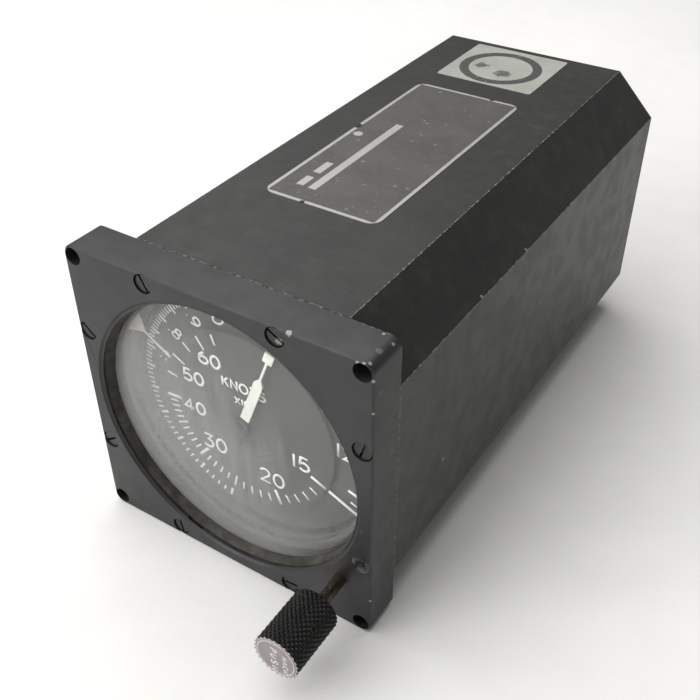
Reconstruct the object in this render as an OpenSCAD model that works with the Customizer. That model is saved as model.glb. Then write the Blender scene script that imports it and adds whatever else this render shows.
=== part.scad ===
// Combined Mach and airspeed indicator for panel mounting, all sizes in mm
// The front faces -Y, +Z is up, the origin is on the axis in the rear face of the flange

/* [Bezel] */
// side of the square flange
flange_side = 82.55; // [82.5:0.05:85]
// thickness of the flange
flange_thick = 10.5; // [10.3:0.1:12]
// corner radius of the flange
flange_corner_r = 2.7; // [1.5:0.1:3.5]
// small chamfer around the front edge of the flange
edge_chamfer = 0.4; // [0.2:0.05:0.8]
// distance of the fixing holes from the flange edges
mount_inset = 2.7; // [2.6:0.05:3.1]
// diameter of the four panel fixing holes
mount_hole_d = 4.5; // [4.0:0.1:4.7]

/* [Bezel screws] */
// distance of each bezel screw from the centre line
screw_offset = 17.7; // [16.5:0.1:19]
// diameter of the counterbores
counterbore_d = 5.0; // [4.8:0.1:5.2]
// depth of the counterbores
counterbore_depth = 2.2; // [2.0:0.1:3]
// diameter of the screw heads
screw_head_d = 4.4; // [4.0:0.1:4.6]
// height of the screw heads
screw_head_h = 1.8; // [1.4:0.1:1.9]
// diameter of the screw shanks
screw_shank_d = 2.4; // [2.0:0.1:2.8]
// length of the screw shanks below the head
screw_len = 14; // [12:0.5:16]
// width of the screwdriver slots
slot_w = 0.6; // [0.4:0.05:0.8]
// depth of the screwdriver slots
slot_depth = 0.8; // [0.4:0.05:1.0]

/* [Window] */
// narrowest rim between the opening and the flange edge
rim_w = 3.625; // [3.5:0.025:4]
// depth of the glass below the front face
glass_recess = 4.0; // [3.6:0.1:4.2]
// thickness of the cover glass
glass_thick = 3.0; // [2.6:0.1:3.2]
// thickness of the gasket behind the glass
gasket_thick = 0.4; // [0.3:0.05:0.5]
// thickness of the ledge that carries the glass
ledge_thick = 0.7; // [0.5:0.05:0.8]
// width of the ledge that carries the glass
ledge_w = 1.65; // [1.4:0.05:1.8]
// width of the snap ring that holds the glass
snap_w = 1.2; // [0.9:0.05:1.3]
// thickness of the snap ring
snap_thick = 0.7; // [0.5:0.05:0.8]

/* [Dials] */
// radius of the fixed airspeed dial
dial_r = 25.3; // [23:0.1:25.5]
// radius of the turning Mach disc
mach_r = 34; // [32:0.1:34.4]
// thickness of both discs
disc_thick = 0.8; // [0.6:0.05:0.9]
// radius of the fixed mask that covers the right side of the Mach disc
mask_r = 33.8; // [32:0.1:34.2]
// pointer angle at rest, clockwise from the top
pointer_rest = 21; // [0:1:40]
// reach of the pointer
pointer_len = 27; // [25:0.1:28]

/* [Index rings] */
// tooth size of the index gearing
index_module = 0.8; // [0.8:0.01:0.81]
// teeth of each index ring
ring_teeth = 93; // [92:1:93]
// teeth of the pinion on the knob shaft
pinion_teeth = 12; // [12:1:12]
// thickness of each index ring
ring_thick = 1.0; // [0.8:0.05:1.1]
// inner radius of each index ring
ring_bore_r = 35; // [34.6:0.1:35.3]
// Mach index angle at rest, clockwise from the top
mach_index_rest = 303.4; // [290:0.1:310]
// airspeed index angle at rest, clockwise from the top
speed_index_rest = 115; // [100:1:120]

/* [Knob] */
// diameter of the knob
knob_d = 12.1; // [11:0.1:13]
// length of the knob
knob_len = 15.7; // [14:0.1:17]
// gap between the knob and the flange
knob_gap = 9.9; // [6:0.1:11]
// direction of the knob from the axis
knob_angle = -38.5; // [-39.5:0.1:-37.5]
// depth of the knurl
knurl_depth = 0.45; // [0.3:0.05:0.5]
// diamonds of the knurl around the knob
knurl_count = 30; // [26:2:36]
// diameter of the knob shaft
shaft_d = 3.2; // [3.0:0.1:3.4]
// travel of the knob when it is pushed
push_travel = 1.4; // [1.0:0.1:1.4]

/* [Case] */
// step from the flange edge to the flat of the case
case_inset = 0.175; // [0.1:0.005:0.4]
// chamfer of the four long edges
case_chamfer = 12.3; // [11.8:0.1:12.5]
// distance from the flange to the rear face
case_len = 153.8; // [150:0.5:165]
// wall thickness of the case
case_wall = 2.0; // [1.6:0.1:2.1]
// thickness of the rear wall
rear_wall = 3.0; // [2.6:0.1:3.6]
// thickness of the gasket between flange and case
case_gasket_thick = 0.4; // [0.3:0.05:0.5]

/* [Ports] */
// distance of each port from the centre plane
port_x = 18; // [16:0.5:20]
// height of the ports below the axis
port_drop = 14; // [11:0.5:16]
// diameter of the threaded bores
port_bore_d = 8.8; // [8.4:0.1:9]
// depth of the threaded bores
port_depth = 9.5; // [9:0.1:9.6]
// size across the flats of the hexagons
port_hex = 16; // [15:0.5:18]

/* [Mechanism] */
// tooth size of the sector gearing
sector_module = 0.5; // [0.5:0.01:0.5]
// teeth of the pointer pinion
pointer_teeth = 12; // [12:1:12]
// teeth of a full airspeed sector
speed_teeth = 84; // [84:1:84]
// teeth of the Mach gear
mach_teeth = 32; // [32:1:32]
// teeth of a full Mach sector
aneroid_teeth = 80; // [80:1:80]
// sweep of the pointer in degrees
pointer_sweep = 318; // [280:1:320]
// sweep of the Mach disc in degrees
mach_sweep = 100; // [80:1:100]
// length of both capsule levers
lever_len = 5; // [4.6:0.1:5.2]
// radius of the airspeed capsule
speed_capsule_r = 22; // [20:0.5:23]
// radius of the aneroid capsule
aneroid_r = 19; // [17:0.5:19.5]
// radius of the mechanism plates
plate_r = 38; // [37.7:0.1:38.2]
// thickness of the mechanism plates
plate_thick = 2; // [1.6:0.1:2.4]
// radius of the rocking shafts
rock_r = 1.2; // [1.0:0.05:1.4]
// radius of the pointer staff
staff_r = 0.8; // [0.6:0.05:0.9]
// radius of the pillars
pillar_r = 2; // [1.6:0.1:2.4]
// radius of the inner pitot tube
tube_r = 1.0; // [0.8:0.05:1.1]

/* [Fits] */
// radial clearance of every running fit
run_fit = 0.05; // [0.02:0.01:0.08]
// radial clearance of fixed pieces
seat_fit = 0.02; // [0.01:0.01:0.04]
// free air beside moving teeth and rims
free_gap = 0.2; // [0.15:0.01:0.25]

/* [Hidden] */
$fn = 96;
eps = 0.5;
flange_ref = 82.55;
panel_fit = flange_side / flange_ref;
half = flange_ref / 2;
hole_c = half - mount_inset;
screw_angles = [118, 150, 140, 70, 35, 205, 100, 8];
screw_at = [[-screw_offset, hole_c], [screw_offset, hole_c], [-hole_c, screw_offset],
            [hole_c, screw_offset], [-hole_c, -screw_offset], [hole_c, -screw_offset],
            [-screw_offset, -hole_c], [screw_offset, -hole_c]];
opening_r = half - rim_w;
y_face = -flange_thick;
y_glass = y_face + glass_recess;
y_gasket = y_glass + glass_thick;
y_ledge = y_gasket + gasket_thick;
y_pocket = y_ledge + ledge_thick;
snap_y = y_face + 0.55;
ledge_r = opening_r - ledge_w;
glass_r = opening_r - 0.15;

pressure = 25;
tip_k = 0.8;
root_k = 1.2;
backlash_k = 0.16;
ring_pitch_r = index_module * ring_teeth / 2;
ring_tip_r = ring_pitch_r + tip_k * index_module;
index_pitch_r = index_module * pinion_teeth / 2;
index_tip_r = index_pitch_r + tip_k * index_module;
knob_r = ring_pitch_r + index_pitch_r;
knob_x = knob_r * cos(knob_angle);
knob_z = knob_r * sin(knob_angle);
pocket_r = ring_tip_r + 2 * free_gap;

ring_a_y = y_pocket + 0.5;
pointer_y = ring_a_y + ring_thick;
pointer_thick = 0.4;
arm_thick = 0.25;
dial_y = pointer_y + 1.5;
mask_y = dial_y + disc_thick + 0.3;
mask_thick = 0.5;
ring_b_y = ring_a_y + ring_thick + push_travel + 2 * free_gap;
mach_y = dial_y + disc_thick + 1.6;
gear_y = mach_y + disc_thick + 1.6;
gear_thick = 1.2;
front_y = gear_y + gear_thick + 2.4;
front_y1 = front_y + plate_thick;
hair_y = front_y1 + 2;
sector_y = front_y1 + 5.8;
mid_y = sector_y + 7.2;
mid_y1 = mid_y + plate_thick;
rear_y = case_len - 29.8;
rear_y1 = rear_y + plate_thick;
capsule_y = (mid_y1 + rear_y) / 2 + 1;

guide_core_r = 1.6;
guide_rim_r = guide_core_r + 0.9;
guide_r = ring_tip_r + free_gap + guide_core_r;
guide_angles = [45, 135, 225];

shaft_r = shaft_d / 2;
knob_back = y_face - knob_gap;
knob_front = knob_back - knob_len;
bush_r = 3.0;
bush_y1 = y_pocket - 1.6;
collar_r = 3.2;
clip_r = 2.3;
collar_y = ring_b_y + 0.3;
collar_thick = 0.8;
spring_r = 2.9;
wire_r = 0.26;
spring_y0 = collar_y + collar_thick + 0.05;
spring_turns = 6;

case_s = flange_ref / 2 - case_inset;
case_y0 = case_gasket_thick;
inner_s = case_s - case_wall;
inner_c = case_chamfer - case_wall * (2 - sqrt(2));
rear_in = case_len - rear_wall;
boss_r = 3;
boss_len = 8;

stand_r = 1.8;
stand_at = [for (a = [33, 147, 213, 303]) [43 * cos(a), 43 * sin(a)]];
pillar_at = [[32, 10], [-32, 10], [-32, -10], [32, -10]];
tail_r = 1.0;
bearing_r = 2.2;

tube_bore = staff_r + run_fit;
dial_tube_r = 2.2;
tube_flange_r = 6;
sleeve_bore = dial_tube_r + run_fit;
sleeve_r = 3.4;

pointer_pitch_r = sector_module * pointer_teeth / 2;
speed_pitch_r = sector_module * speed_teeth / 2;
speed_c = pointer_pitch_r + speed_pitch_r;
speed_dir = 221.4;
rock_a = [speed_c * cos(speed_dir), speed_c * sin(speed_dir)];
mach_pitch_r = sector_module * mach_teeth / 2;
aneroid_pitch_r = sector_module * aneroid_teeth / 2;
aneroid_c = mach_pitch_r + aneroid_pitch_r;
aneroid_dir = 44.4;
rock_b = [aneroid_c * cos(aneroid_dir), aneroid_c * sin(aneroid_dir)];
speed_turn = pointer_sweep * pointer_teeth / speed_teeth;
aneroid_turn = mach_sweep * mach_teeth / aneroid_teeth;

roller_r = 0.8;
touch = 0.25;
post_h = 1.7;
post_r = 1.6;
lift_a = lever_len * sin(speed_turn / 2);
post_a = [rock_a[0] + lever_len, rock_a[1] - lift_a - roller_r - touch];
lift_b = lever_len * sin(aneroid_turn / 2);
post_b = [rock_b[0] - lever_len, rock_b[1] + lift_b + roller_r + touch];
capsule_h = 7.6;
aneroid_h = 6.4;
capsule_top = post_a[1] - post_h - 0.05;
capsule_low = capsule_top - capsule_h;
block_h = 2.5;
inlet_r = 0.8;
bar_h = 2.4;
bar_w = 6;
aneroid_low = post_b[1] + post_h + 0.05;
aneroid_top = aneroid_low + aneroid_h;
stud_h = 0.7;
tube_z = capsule_low - block_h / 2 - 0.1;

washer_h = 0.5;
hex_h = 6;
neck_h = 4;
port_y0 = case_len + washer_h;
port_y1 = port_y0 + hex_h + neck_h;
shank_r = 5.5;
nut_h = 2.4;
tail_end = rear_in - nut_h - 6;

plate_label = [[-18.2, 14.3], [case_len - 120, case_len - 41.5]];
square_label = [[-17.8, 13.0], [case_len - 32.2, case_len - 3.4]];
label_thick = 0.12;

// flat shape drawn in X and Z, standing from y0 to y1
module slab(y0, y1) {
  translate([0, y1, 0]) rotate([90, 0, 0]) linear_extrude(height = y1 - y0) children();
}

// round rod along Y at x, z
module rod(at, r, y0, y1) {
  translate([at[0], y0, at[1]]) rotate([-90, 0, 0]) cylinder(r = r, h = y1 - y0);
}

// profile of radius and y turned about the line through x, z
module turned(at) {
  translate([at[0], 0, at[1]]) rotate([-90, 0, 0]) rotate_extrude() children();
}

// radius and y band
module band(r0, r1, y0, y1) {
  translate([r0, y0]) square([r1 - r0, y1 - y0]);
}

function oct(s, c) = [[s - c, s], [s, s - c], [s, c - s], [s - c, -s],
                      [c - s, -s], [-s, c - s], [-s, s - c], [c - s, s]];

function polar(r, a) = [r * cos(a), r * sin(a)];

// involute of an angle, in degrees
function inv(a) = tan(a) * 180 / PI - a;

// half tooth angle at radius r
function flank(r, m, n) =
  let (rp = m * n / 2, rb = rp * cos(pressure), q = max(r, rb))
  90 / n - backlash_k * m / (2 * rp) * 180 / PI + inv(pressure) - inv(acos(rb / q));

// radii along one tooth flank from root to tip
function flank_radii(m, n) =
  let (rp = m * n / 2, rb = rp * cos(pressure), rf = rp - root_k * m, ra = rp + tip_k * m)
  rb > rf ? [rf, rb, (rb + ra) / 2, ra] : [rf, (rf + ra) / 2, ra];

// outline of one tooth at angle c
function tooth(m, n, c) =
  let (q = flank_radii(m, n), k = len(q) - 1)
  concat([for (i = [0:k]) polar(q[i], c - flank(q[i], m, n))],
         [for (i = [k:-1:0]) polar(q[i], c + flank(q[i], m, n))]);

function gear_outline(m, n, a0) = [for (k = [0:n - 1]) each tooth(m, n, a0 + 360 * k / n)];

function sector_outline(m, n, a0, k0, k1) =
  concat([[0, 0]], [for (k = [k0:k1]) each tooth(m, n, a0 + 360 * k / n)]);

// straight bar in the X Z plane from radius r0 to r1 at angle a
module ray(a, r0, r1, w) {
  rotate([0, 0, a]) translate([r0, -w / 2]) square([r1 - r0, w]);
}

module round_square(s, r) {
  union() {
    square([2 * s, 2 * (s - r)], center = true);
    square([2 * (s - r), 2 * s], center = true);
    for (x = [-1, 1]) for (z = [-1, 1]) translate([x * (s - r), z * (s - r)]) circle(r = r, $fn = 32);
  }
}

module bezel_flange() {
  color([0.16, 0.16, 0.15]) difference() {
    union() {
      slab(y_face + edge_chamfer, 0) round_square(half, flange_corner_r);
      hull() {
        slab(y_face + edge_chamfer, y_face + 2 * edge_chamfer) round_square(half, flange_corner_r);
        slab(y_face, y_face + edge_chamfer)
          round_square(half - edge_chamfer, flange_corner_r - edge_chamfer);
      }
    }
    turned([0, 0]) polygon([[0, y_face - eps], [opening_r + 0.55 + eps, y_face - eps],
      [opening_r, y_face + 0.55], [opening_r + snap_w - 0.4, y_face + 0.55],
      [opening_r + snap_w - 0.4, snap_y + snap_thick + 0.05], [opening_r, snap_y + snap_thick + 0.05],
      [opening_r, y_ledge], [ledge_r, y_ledge], [ledge_r, y_pocket], [pocket_r, y_pocket],
      [pocket_r, eps], [0, eps]]);
    for (x = [-1, 1]) for (z = [-1, 1])
      rod([x * hole_c, z * hole_c], mount_hole_d / 2, y_face - eps, eps);
    for (p = screw_at) {
      rod(p, counterbore_d / 2, y_face - eps, y_face + counterbore_depth);
      rod(p, screw_shank_d / 2 + 0.1, y_face, eps);
    }
    rod([knob_x, knob_z], bush_r + seat_fit, y_face - eps, eps);
    rod([knob_x, knob_z], index_tip_r + 2 * free_gap, y_pocket, eps);
    for (a = guide_angles) {
      rod(polar(guide_r, a), guide_rim_r + free_gap, y_pocket, eps);
      rod(polar(guide_r, a), tail_r + seat_fit, y_pocket - 3, eps);
    }
    for (p = stand_at) rod(p, tail_r + seat_fit, -4, eps);
  }
}

module bezel_screw(p, a) {
  head_y = y_face + counterbore_depth - screw_head_h;
  difference() {
    union() {
      rod(p, screw_head_d / 2, head_y, head_y + screw_head_h);
      rod(p, screw_shank_d / 2, head_y + screw_head_h - 0.1, head_y + screw_head_h + screw_len);
    }
    translate([p[0], head_y, p[1]]) rotate([0, -a, 0])
      cube([screw_head_d + 1, 2 * slot_depth, slot_w], center = true);
  }
}

module bezel_screws() {
  color([0.5, 0.48, 0.44]) for (i = [0:7]) bezel_screw(screw_at[i], screw_angles[i]);
}

module screw_seal() {
  seal_y = y_face + counterbore_depth - screw_head_h;
  color([0.12, 0.09, 0.08]) turned(screw_at[5])
    polygon([[0, seal_y], [counterbore_d / 2 - 0.05, seal_y], [counterbore_d / 2 - 0.05, y_face],
             [1.6, y_face - 0.25], [0.8, y_face - 0.35], [0, y_face - 0.38]]);
}

module snap_ring() {
  color([0.06, 0.06, 0.06]) difference() {
    turned([0, 0]) band(opening_r - 0.45, opening_r + snap_w - 0.45, snap_y, snap_y + snap_thick);
    slab(snap_y - eps, snap_y + snap_thick + eps) ray(250, opening_r - 3, opening_r + 3, 5);
  }
}

module clamp_ring() {
  ring_y = snap_y + snap_thick + 0.05;
  color([0.15, 0.12, 0.10]) turned([0, 0])
    polygon([[glass_r - 0.35, ring_y], [glass_r + 0.05, ring_y], [glass_r + 0.05, y_glass],
             [glass_r - 0.9, y_glass]]);
}

module cover_glass() {
  color([0.75, 0.8, 0.8, 0.3]) rod([0, 0], glass_r, y_glass, y_gasket);
}

module window_gasket() {
  color([0.05, 0.05, 0.05]) turned([0, 0]) band(ledge_r, glass_r, y_gasket, y_ledge);
}

module airspeed_dial() {
  color([0.07, 0.07, 0.07]) turned([0, 0]) band(tube_bore + 0.5, dial_r, dial_y, dial_y + disc_thick);
}

module scale_mask() {
  color([0.07, 0.07, 0.07]) slab(mask_y, mask_y + mask_thick) difference() {
    union() {
      circle(r = 9);
      intersection() {
        circle(r = mask_r);
        polygon([[0, 0], 2 * polar(mask_r, -38), 2 * polar(mask_r, 14), 2 * polar(mask_r, 65)]);
      }
    }
    circle(r = tube_flange_r + seat_fit);
  }
}
module mach_disc() {
  color([0.07, 0.07, 0.07]) turned([0, 0])
    band(sleeve_r + seat_fit, mach_r, mach_y, mach_y + disc_thick);
}

module pointer() {
  color([0.86, 0.83, 0.72]) difference() {
    union() {
      slab(pointer_y, pointer_y + pointer_thick) rotate([0, 0, 90 - pointer_rest])
        polygon([[-8, -1.1], [1, -1.3], [16.2, -1.3], [17.9, -0.3], [pointer_len - 2.9, -0.3],
                 [pointer_len - 2.9, -1.3], [pointer_len, -1.3], [pointer_len, 1.3],
                 [pointer_len - 2.9, 1.3], [pointer_len - 2.9, 0.3], [17.9, 0.3], [16.2, 1.3],
                 [1, 1.3], [-8, 1.1]]);
      rod([0, 0], 2.0, pointer_y - 0.5, pointer_y + pointer_thick + 0.5);
    }
    rod([0, 0], staff_r + seat_fit, pointer_y - 1, pointer_y + 2);
  }
}

module index_ring(y0) {
  slab(y0, y0 + ring_thick) difference() {
    polygon(gear_outline(index_module, ring_teeth, knob_angle + 180 / ring_teeth));
    circle(r = ring_bore_r);
  }
}

module mach_index_ring() {
  a = 90 - mach_index_rest;
  color([0.82, 0.45, 0.33]) union() {
    index_ring(ring_a_y);
    slab(ring_a_y, ring_a_y + arm_thick) rotate([0, 0, a])
      polygon([[ring_bore_r + 0.6, 3.7], [32.4, 0.25], [dial_r - 1.6, 0.25],
               [dial_r - 1.6, -0.25], [32.4, -0.25], [ring_bore_r + 0.6, -3.7]]);
  }
}

module airspeed_index_ring() {
  a = 90 - speed_index_rest;
  color([0.85, 0.83, 0.78]) union() {
    index_ring(ring_b_y);
    slab(ring_b_y, ring_b_y + arm_thick) ray(a, dial_r + 0.4, ring_bore_r + 0.6, 0.7);
  }
}

module index_guide_studs() {
  color([0.72, 0.6, 0.3]) for (a = guide_angles) turned(polar(guide_r, a))
    polygon([[0, y_pocket - 2.9], [tail_r, y_pocket - 2.9], [tail_r, y_pocket],
             [guide_rim_r, y_pocket], [guide_rim_r, ring_a_y - free_gap],
             [guide_core_r, ring_a_y - free_gap], [guide_core_r, ring_a_y + ring_thick + free_gap],
             [guide_rim_r, ring_a_y + ring_thick + free_gap], [guide_rim_r, ring_b_y - free_gap],
             [guide_core_r, ring_b_y - free_gap], [guide_core_r, ring_b_y + ring_thick + free_gap],
             [guide_rim_r, ring_b_y + ring_thick + free_gap],
             [guide_rim_r, ring_b_y + ring_thick + free_gap + 0.4],
             [0, ring_b_y + ring_thick + free_gap + 0.4]]);
}

// diamond knurl, peaks and crossing grooves alternate on a grid of angle and length
module knurl(r, y0, y1) {
  n = 2 * knurl_count;
  m = 2 * round((y1 - y0) / (2 * PI * r / knurl_count));
  function lift(i, j) = j == 0 || j == m || (i + j) % 2 == 0 ? r - knurl_depth : r;
  points = [for (j = [0:m]) for (i = [0:n - 1])
    let (q = lift(i, j), a = 360 * i / n) [q * cos(a), y0 + (y1 - y0) * j / m, q * sin(a)]];
  sides = [for (j = [0:m - 1]) for (i = [0:n - 1])
    let (a = j * n + i, b = j * n + (i + 1) % n, c = b + n, d = a + n)
    each ((i + j) % 2 == 0 ? [[a, b, c], [a, c, d]] : [[a, b, d], [b, c, d]])];
  caps = [[for (i = [n - 1:-1:0]) i], [for (i = [0:n - 1]) m * n + i]];
  polyhedron(points = points, faces = concat(sides, caps));
}

cap_r = knob_d / 2 - 0.75;
cap_thick = 0.8;
set_y = knob_front + 8.7;
set_angle = 38;
set_r = 1.1;

module knob() {
  color([0.1, 0.1, 0.1]) difference() {
    translate([knob_x, 0, knob_z]) knurl(knob_d / 2, knob_front, knob_back);
    rod([knob_x, knob_z], cap_r + seat_fit, knob_front - eps, knob_front + cap_thick - 0.1);
    rod([knob_x, knob_z], shaft_r + seat_fit, knob_front + 2.5, knob_back + eps);
    translate([knob_x, set_y, knob_z]) rotate([0, 90 - set_angle, 0])
      cylinder(r = set_r + seat_fit, h = knob_d);
  }
}

module knob_cap() {
  color([0.36, 0.32, 0.38]) rod([knob_x, knob_z], cap_r, knob_front - 0.1, knob_front + cap_thick - 0.1);
}

module knob_set_screw() {
  color([0.6, 0.55, 0.4]) translate([knob_x, set_y, knob_z]) rotate([0, 90 - set_angle, 0])
    difference() {
      translate([0, 0, shaft_r + 0.05]) cylinder(r = set_r, h = knob_d / 2 - shaft_r - 0.9);
      translate([0, 0, knob_d / 2 - 1.8]) cylinder(r = 0.65, h = 3, $fn = 6);
    }
}

module knob_shaft() {
  color([0.7, 0.62, 0.42]) union() {
    rod([knob_x, knob_z], shaft_r, knob_front + 2.6, front_y + plate_thick / 2);
    rod([knob_x, knob_z], clip_r, collar_y + collar_thick + 0.1, collar_y + collar_thick + 0.7);
  }
}

module knob_bushing() {
  color([0.7, 0.6, 0.35]) turned([knob_x, knob_z]) band(shaft_r + run_fit, bush_r, y_face, bush_y1);
}

module shaft_seal() {
  color([0.05, 0.05, 0.05]) turned([knob_x, knob_z])
    band(shaft_r + run_fit, bush_r, bush_y1, bush_y1 + 1.4);
}

module index_pinion() {
  color([0.75, 0.62, 0.3]) difference() {
    union() {
      slab(ring_a_y, ring_a_y + ring_thick) translate([knob_x, knob_z])
        polygon(gear_outline(index_module, pinion_teeth, knob_angle + 180));
      rod([knob_x, knob_z], shaft_r + 0.9, ring_a_y + ring_thick - 0.1, collar_y - 0.1);
    }
    rod([knob_x, knob_z], shaft_r + seat_fit, ring_a_y - eps, collar_y + eps);
  }
}

module push_collar() {
  color([0.7, 0.7, 0.7]) turned([knob_x, knob_z])
    band(shaft_r + run_fit, collar_r, collar_y, collar_y + collar_thick);
}

// round wire wound along Y
module coil(r, w, y0, y1, turns) {
  n = turns * 16;
  m = 6;
  points = [for (i = [0:n]) for (j = [0:m - 1])
    let (a = 360 * turns * i / n, b = 360 * j / m, q = r + w * cos(b))
    [q * cos(a), y0 + w + (y1 - y0 - 2 * w) * i / n + w * sin(b), q * sin(a)]];
  sides = [for (i = [0:n - 1]) for (j = [0:m - 1])
    let (a = i * m + j, b = (i + 1) * m + j, c = (i + 1) * m + (j + 1) % m, d = i * m + (j + 1) % m)
    each [[a, b, c], [a, c, d]]];
  caps = [[for (j = [0:m - 1]) j], [for (j = [m - 1:-1:0]) n * m + j]];
  polyhedron(points = points, faces = concat(sides, caps));
}

module knob_spring() {
  color([0.75, 0.75, 0.75]) translate([knob_x, 0, knob_z])
    coil(spring_r, wire_r, spring_y0, front_y - 0.05, spring_turns);
}

module case_outer() {
  hull() {
    slab(case_y0, case_len - 0.8) polygon(oct(case_s, case_chamfer));
    slab(case_len - 0.2, case_len) polygon(oct(case_s - 0.8, case_chamfer - 0.47));
  }
}

module case_shell() {
  color([0.14, 0.14, 0.13]) difference() {
    union() {
      difference() {
        case_outer();
        slab(case_y0 - eps, rear_in) polygon(oct(inner_s, inner_c));
      }
      intersection() {
        slab(case_y0, case_y0 + boss_len) polygon(oct(case_s - 0.5, case_chamfer));
        union() for (p = screw_at) rod(p, boss_r, case_y0, case_y0 + boss_len);
      }
    }
    for (p = screw_at) rod(p, screw_shank_d / 2 + seat_fit, case_y0 - eps, case_y0 + boss_len + eps);
    for (x = [-1, 1]) rod([x * port_x, -port_drop], shank_r + 0.1, rear_in - eps, case_len + eps);
  }
}

module case_gasket() {
  color([0.05, 0.05, 0.05]) difference() {
    slab(0, case_gasket_thick) difference() {
      polygon(oct(case_s - 0.4, case_chamfer));
      polygon(oct(inner_s, inner_c));
    }
    for (p = screw_at) rod(p, screw_shank_d / 2 + 0.1, -eps, case_gasket_thick + eps);
  }
}

module label(xy, r) {
  translate([xy[0][0] + r, xy[1][0] + r, case_s]) linear_extrude(height = label_thick) union() {
    square([xy[0][1] - xy[0][0] - 2 * r, xy[1][1] - xy[1][0] - 2 * r]);
    translate([-r, 0]) square([xy[0][1] - xy[0][0], xy[1][1] - xy[1][0] - 2 * r]);
    translate([0, -r]) square([xy[0][1] - xy[0][0] - 2 * r, xy[1][1] - xy[1][0]]);
    for (x = [0, xy[0][1] - xy[0][0] - 2 * r]) for (y = [0, xy[1][1] - xy[1][0] - 2 * r])
      translate([x, y]) circle(r = r);
  }
}

module data_plate() {
  color([0.42, 0.38, 0.42]) label(plate_label, 3);
}

module square_label() {
  color([0.62, 0.63, 0.58]) label(square_label, 0.8);
}

module dial_tube() {
  color([0.72, 0.6, 0.32]) turned([0, 0])
    polygon([[tube_bore, dial_y + disc_thick], [tube_flange_r, dial_y + disc_thick],
             [tube_flange_r, dial_y + disc_thick + 0.8], [dial_tube_r, dial_y + disc_thick + 0.8],
             [dial_tube_r, front_y - 1], [5, front_y - 1], [5, front_y], [3.5, front_y],
             [3.5, front_y1], [tube_bore, front_y1]]);
}

module mach_sleeve() {
  color([0.72, 0.6, 0.32]) turned([0, 0])
    polygon([[sleeve_bore, mach_y - 0.6], [sleeve_r, mach_y - 0.6], [sleeve_r, mach_y + disc_thick],
             [7, mach_y + disc_thick], [7, mach_y + disc_thick + 0.6],
             [sleeve_r, mach_y + disc_thick + 0.6], [sleeve_r, front_y - 1.2],
             [sleeve_bore, front_y - 1.2]]);
}

module mach_gear() {
  color([0.78, 0.64, 0.3]) slab(gear_y, gear_y + gear_thick) difference() {
    polygon(gear_outline(sector_module, mach_teeth, aneroid_dir + 180 / mach_teeth));
    circle(r = sleeve_r + seat_fit);
  }
}

module pointer_staff() {
  color([0.75, 0.75, 0.75]) union() {
    rod([0, 0], staff_r, pointer_y - 0.8, mid_y1);
    rod([0, 0], 1.7, hair_y - 0.3, hair_y + 1.3);
  }
}

module pointer_pinion() {
  color([0.78, 0.64, 0.3]) slab(sector_y - 0.6, sector_y + gear_thick + 0.6) difference() {
    polygon(gear_outline(sector_module, pointer_teeth, speed_dir + 180 / pointer_teeth));
    circle(r = staff_r + seat_fit);
  }
}

function spiral(t, w) = polar(1.9 + 5.4 * t + w, 1800 * t + 20);

module hairspring() {
  color([0.35, 0.38, 0.6]) slab(hair_y, hair_y + 1)
    polygon(concat([for (i = [0:120]) spiral(i / 120, 0.1)], [for (i = [120:-1:0]) spiral(i / 120, -0.1)]));
}

module hairspring_stud() {
  color([0.72, 0.6, 0.32]) rod(polar(8.05, 20), 0.6, front_y1, hair_y + 1.4);
}

module standoffs() {
  color([0.7, 0.7, 0.7]) for (p = stand_at) {
    union() {
      rod(p, tail_r, -3.9, 0.1);
      rod(p, stand_r, 0, front_y);
    }
  }
}

module plate(y0) {
  slab(y0, y0 + plate_thick) circle(r = plate_r);
}

module front_plate() {
  color([0.66, 0.66, 0.64]) difference() {
    union() {
      plate(front_y);
      slab(front_y, front_y1) {
        for (a = [33, 147, 213, 303]) {
          ray(a, 30, 43, 4.6);
          translate(polar(43, a)) circle(r = 2.6);
        }
        ray(knob_angle, 30, knob_r, 8);
        translate([knob_x, knob_z]) circle(r = 4.5);
      }
    }
    rod([0, 0], 3.5 + seat_fit, front_y - eps, front_y1 + eps);
    rod([knob_x, knob_z], shaft_r + run_fit, front_y - eps, front_y1 + eps);
    for (p = [rock_a, rock_b]) rod(p, bearing_r + seat_fit, front_y - eps, front_y1 + eps);
  }
}

module middle_plate() {
  color([0.66, 0.66, 0.64]) difference() {
    plate(mid_y);
    rod([0, 0], bearing_r + seat_fit, mid_y - eps, mid_y1 + eps);
    for (p = [rock_a, rock_b]) rod(p, rock_r + 1, mid_y - eps, mid_y1 + eps);
  }
}

module rear_plate() {
  color([0.66, 0.66, 0.64]) difference() {
    plate(rear_y);
    for (p = [rock_a, rock_b]) rod(p, bearing_r + seat_fit, rear_y - eps, rear_y1 + eps);
    rod([post_a[0], tube_z], tube_r + 0.4, rear_y - eps, rear_y1 + eps);
  }
}

module front_pillars() {
  color([0.74, 0.62, 0.34]) for (p = pillar_at) rod(p, pillar_r, front_y1, mid_y);
}

module rear_pillars() {
  color([0.74, 0.62, 0.34]) for (p = pillar_at) rod(p, pillar_r, mid_y1, rear_y);
}

module frame_screws() {
  color([0.6, 0.6, 0.6]) {
    for (p = pillar_at) {
      rod(p, pillar_r, front_y - 0.9, front_y);
      rod(p, pillar_r, rear_y1, rear_y1 + 1.2);
    }
    for (p = stand_at) rod(p, stand_r, front_y1, front_y1 + 1.2);
  }
}

module pivot_bearings() {
  color([0.75, 0.35, 0.45]) {
    for (p = [rock_a, rock_b]) for (y = [front_y, rear_y])
      turned(p) band(rock_r + run_fit, bearing_r, y, y + plate_thick);
    turned([0, 0]) band(staff_r + run_fit, bearing_r, mid_y, mid_y1);
  }
}

module airspeed_rocking_shaft() {
  color([0.75, 0.75, 0.75]) rod(rock_a, rock_r, front_y, rear_y1);
}

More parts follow.
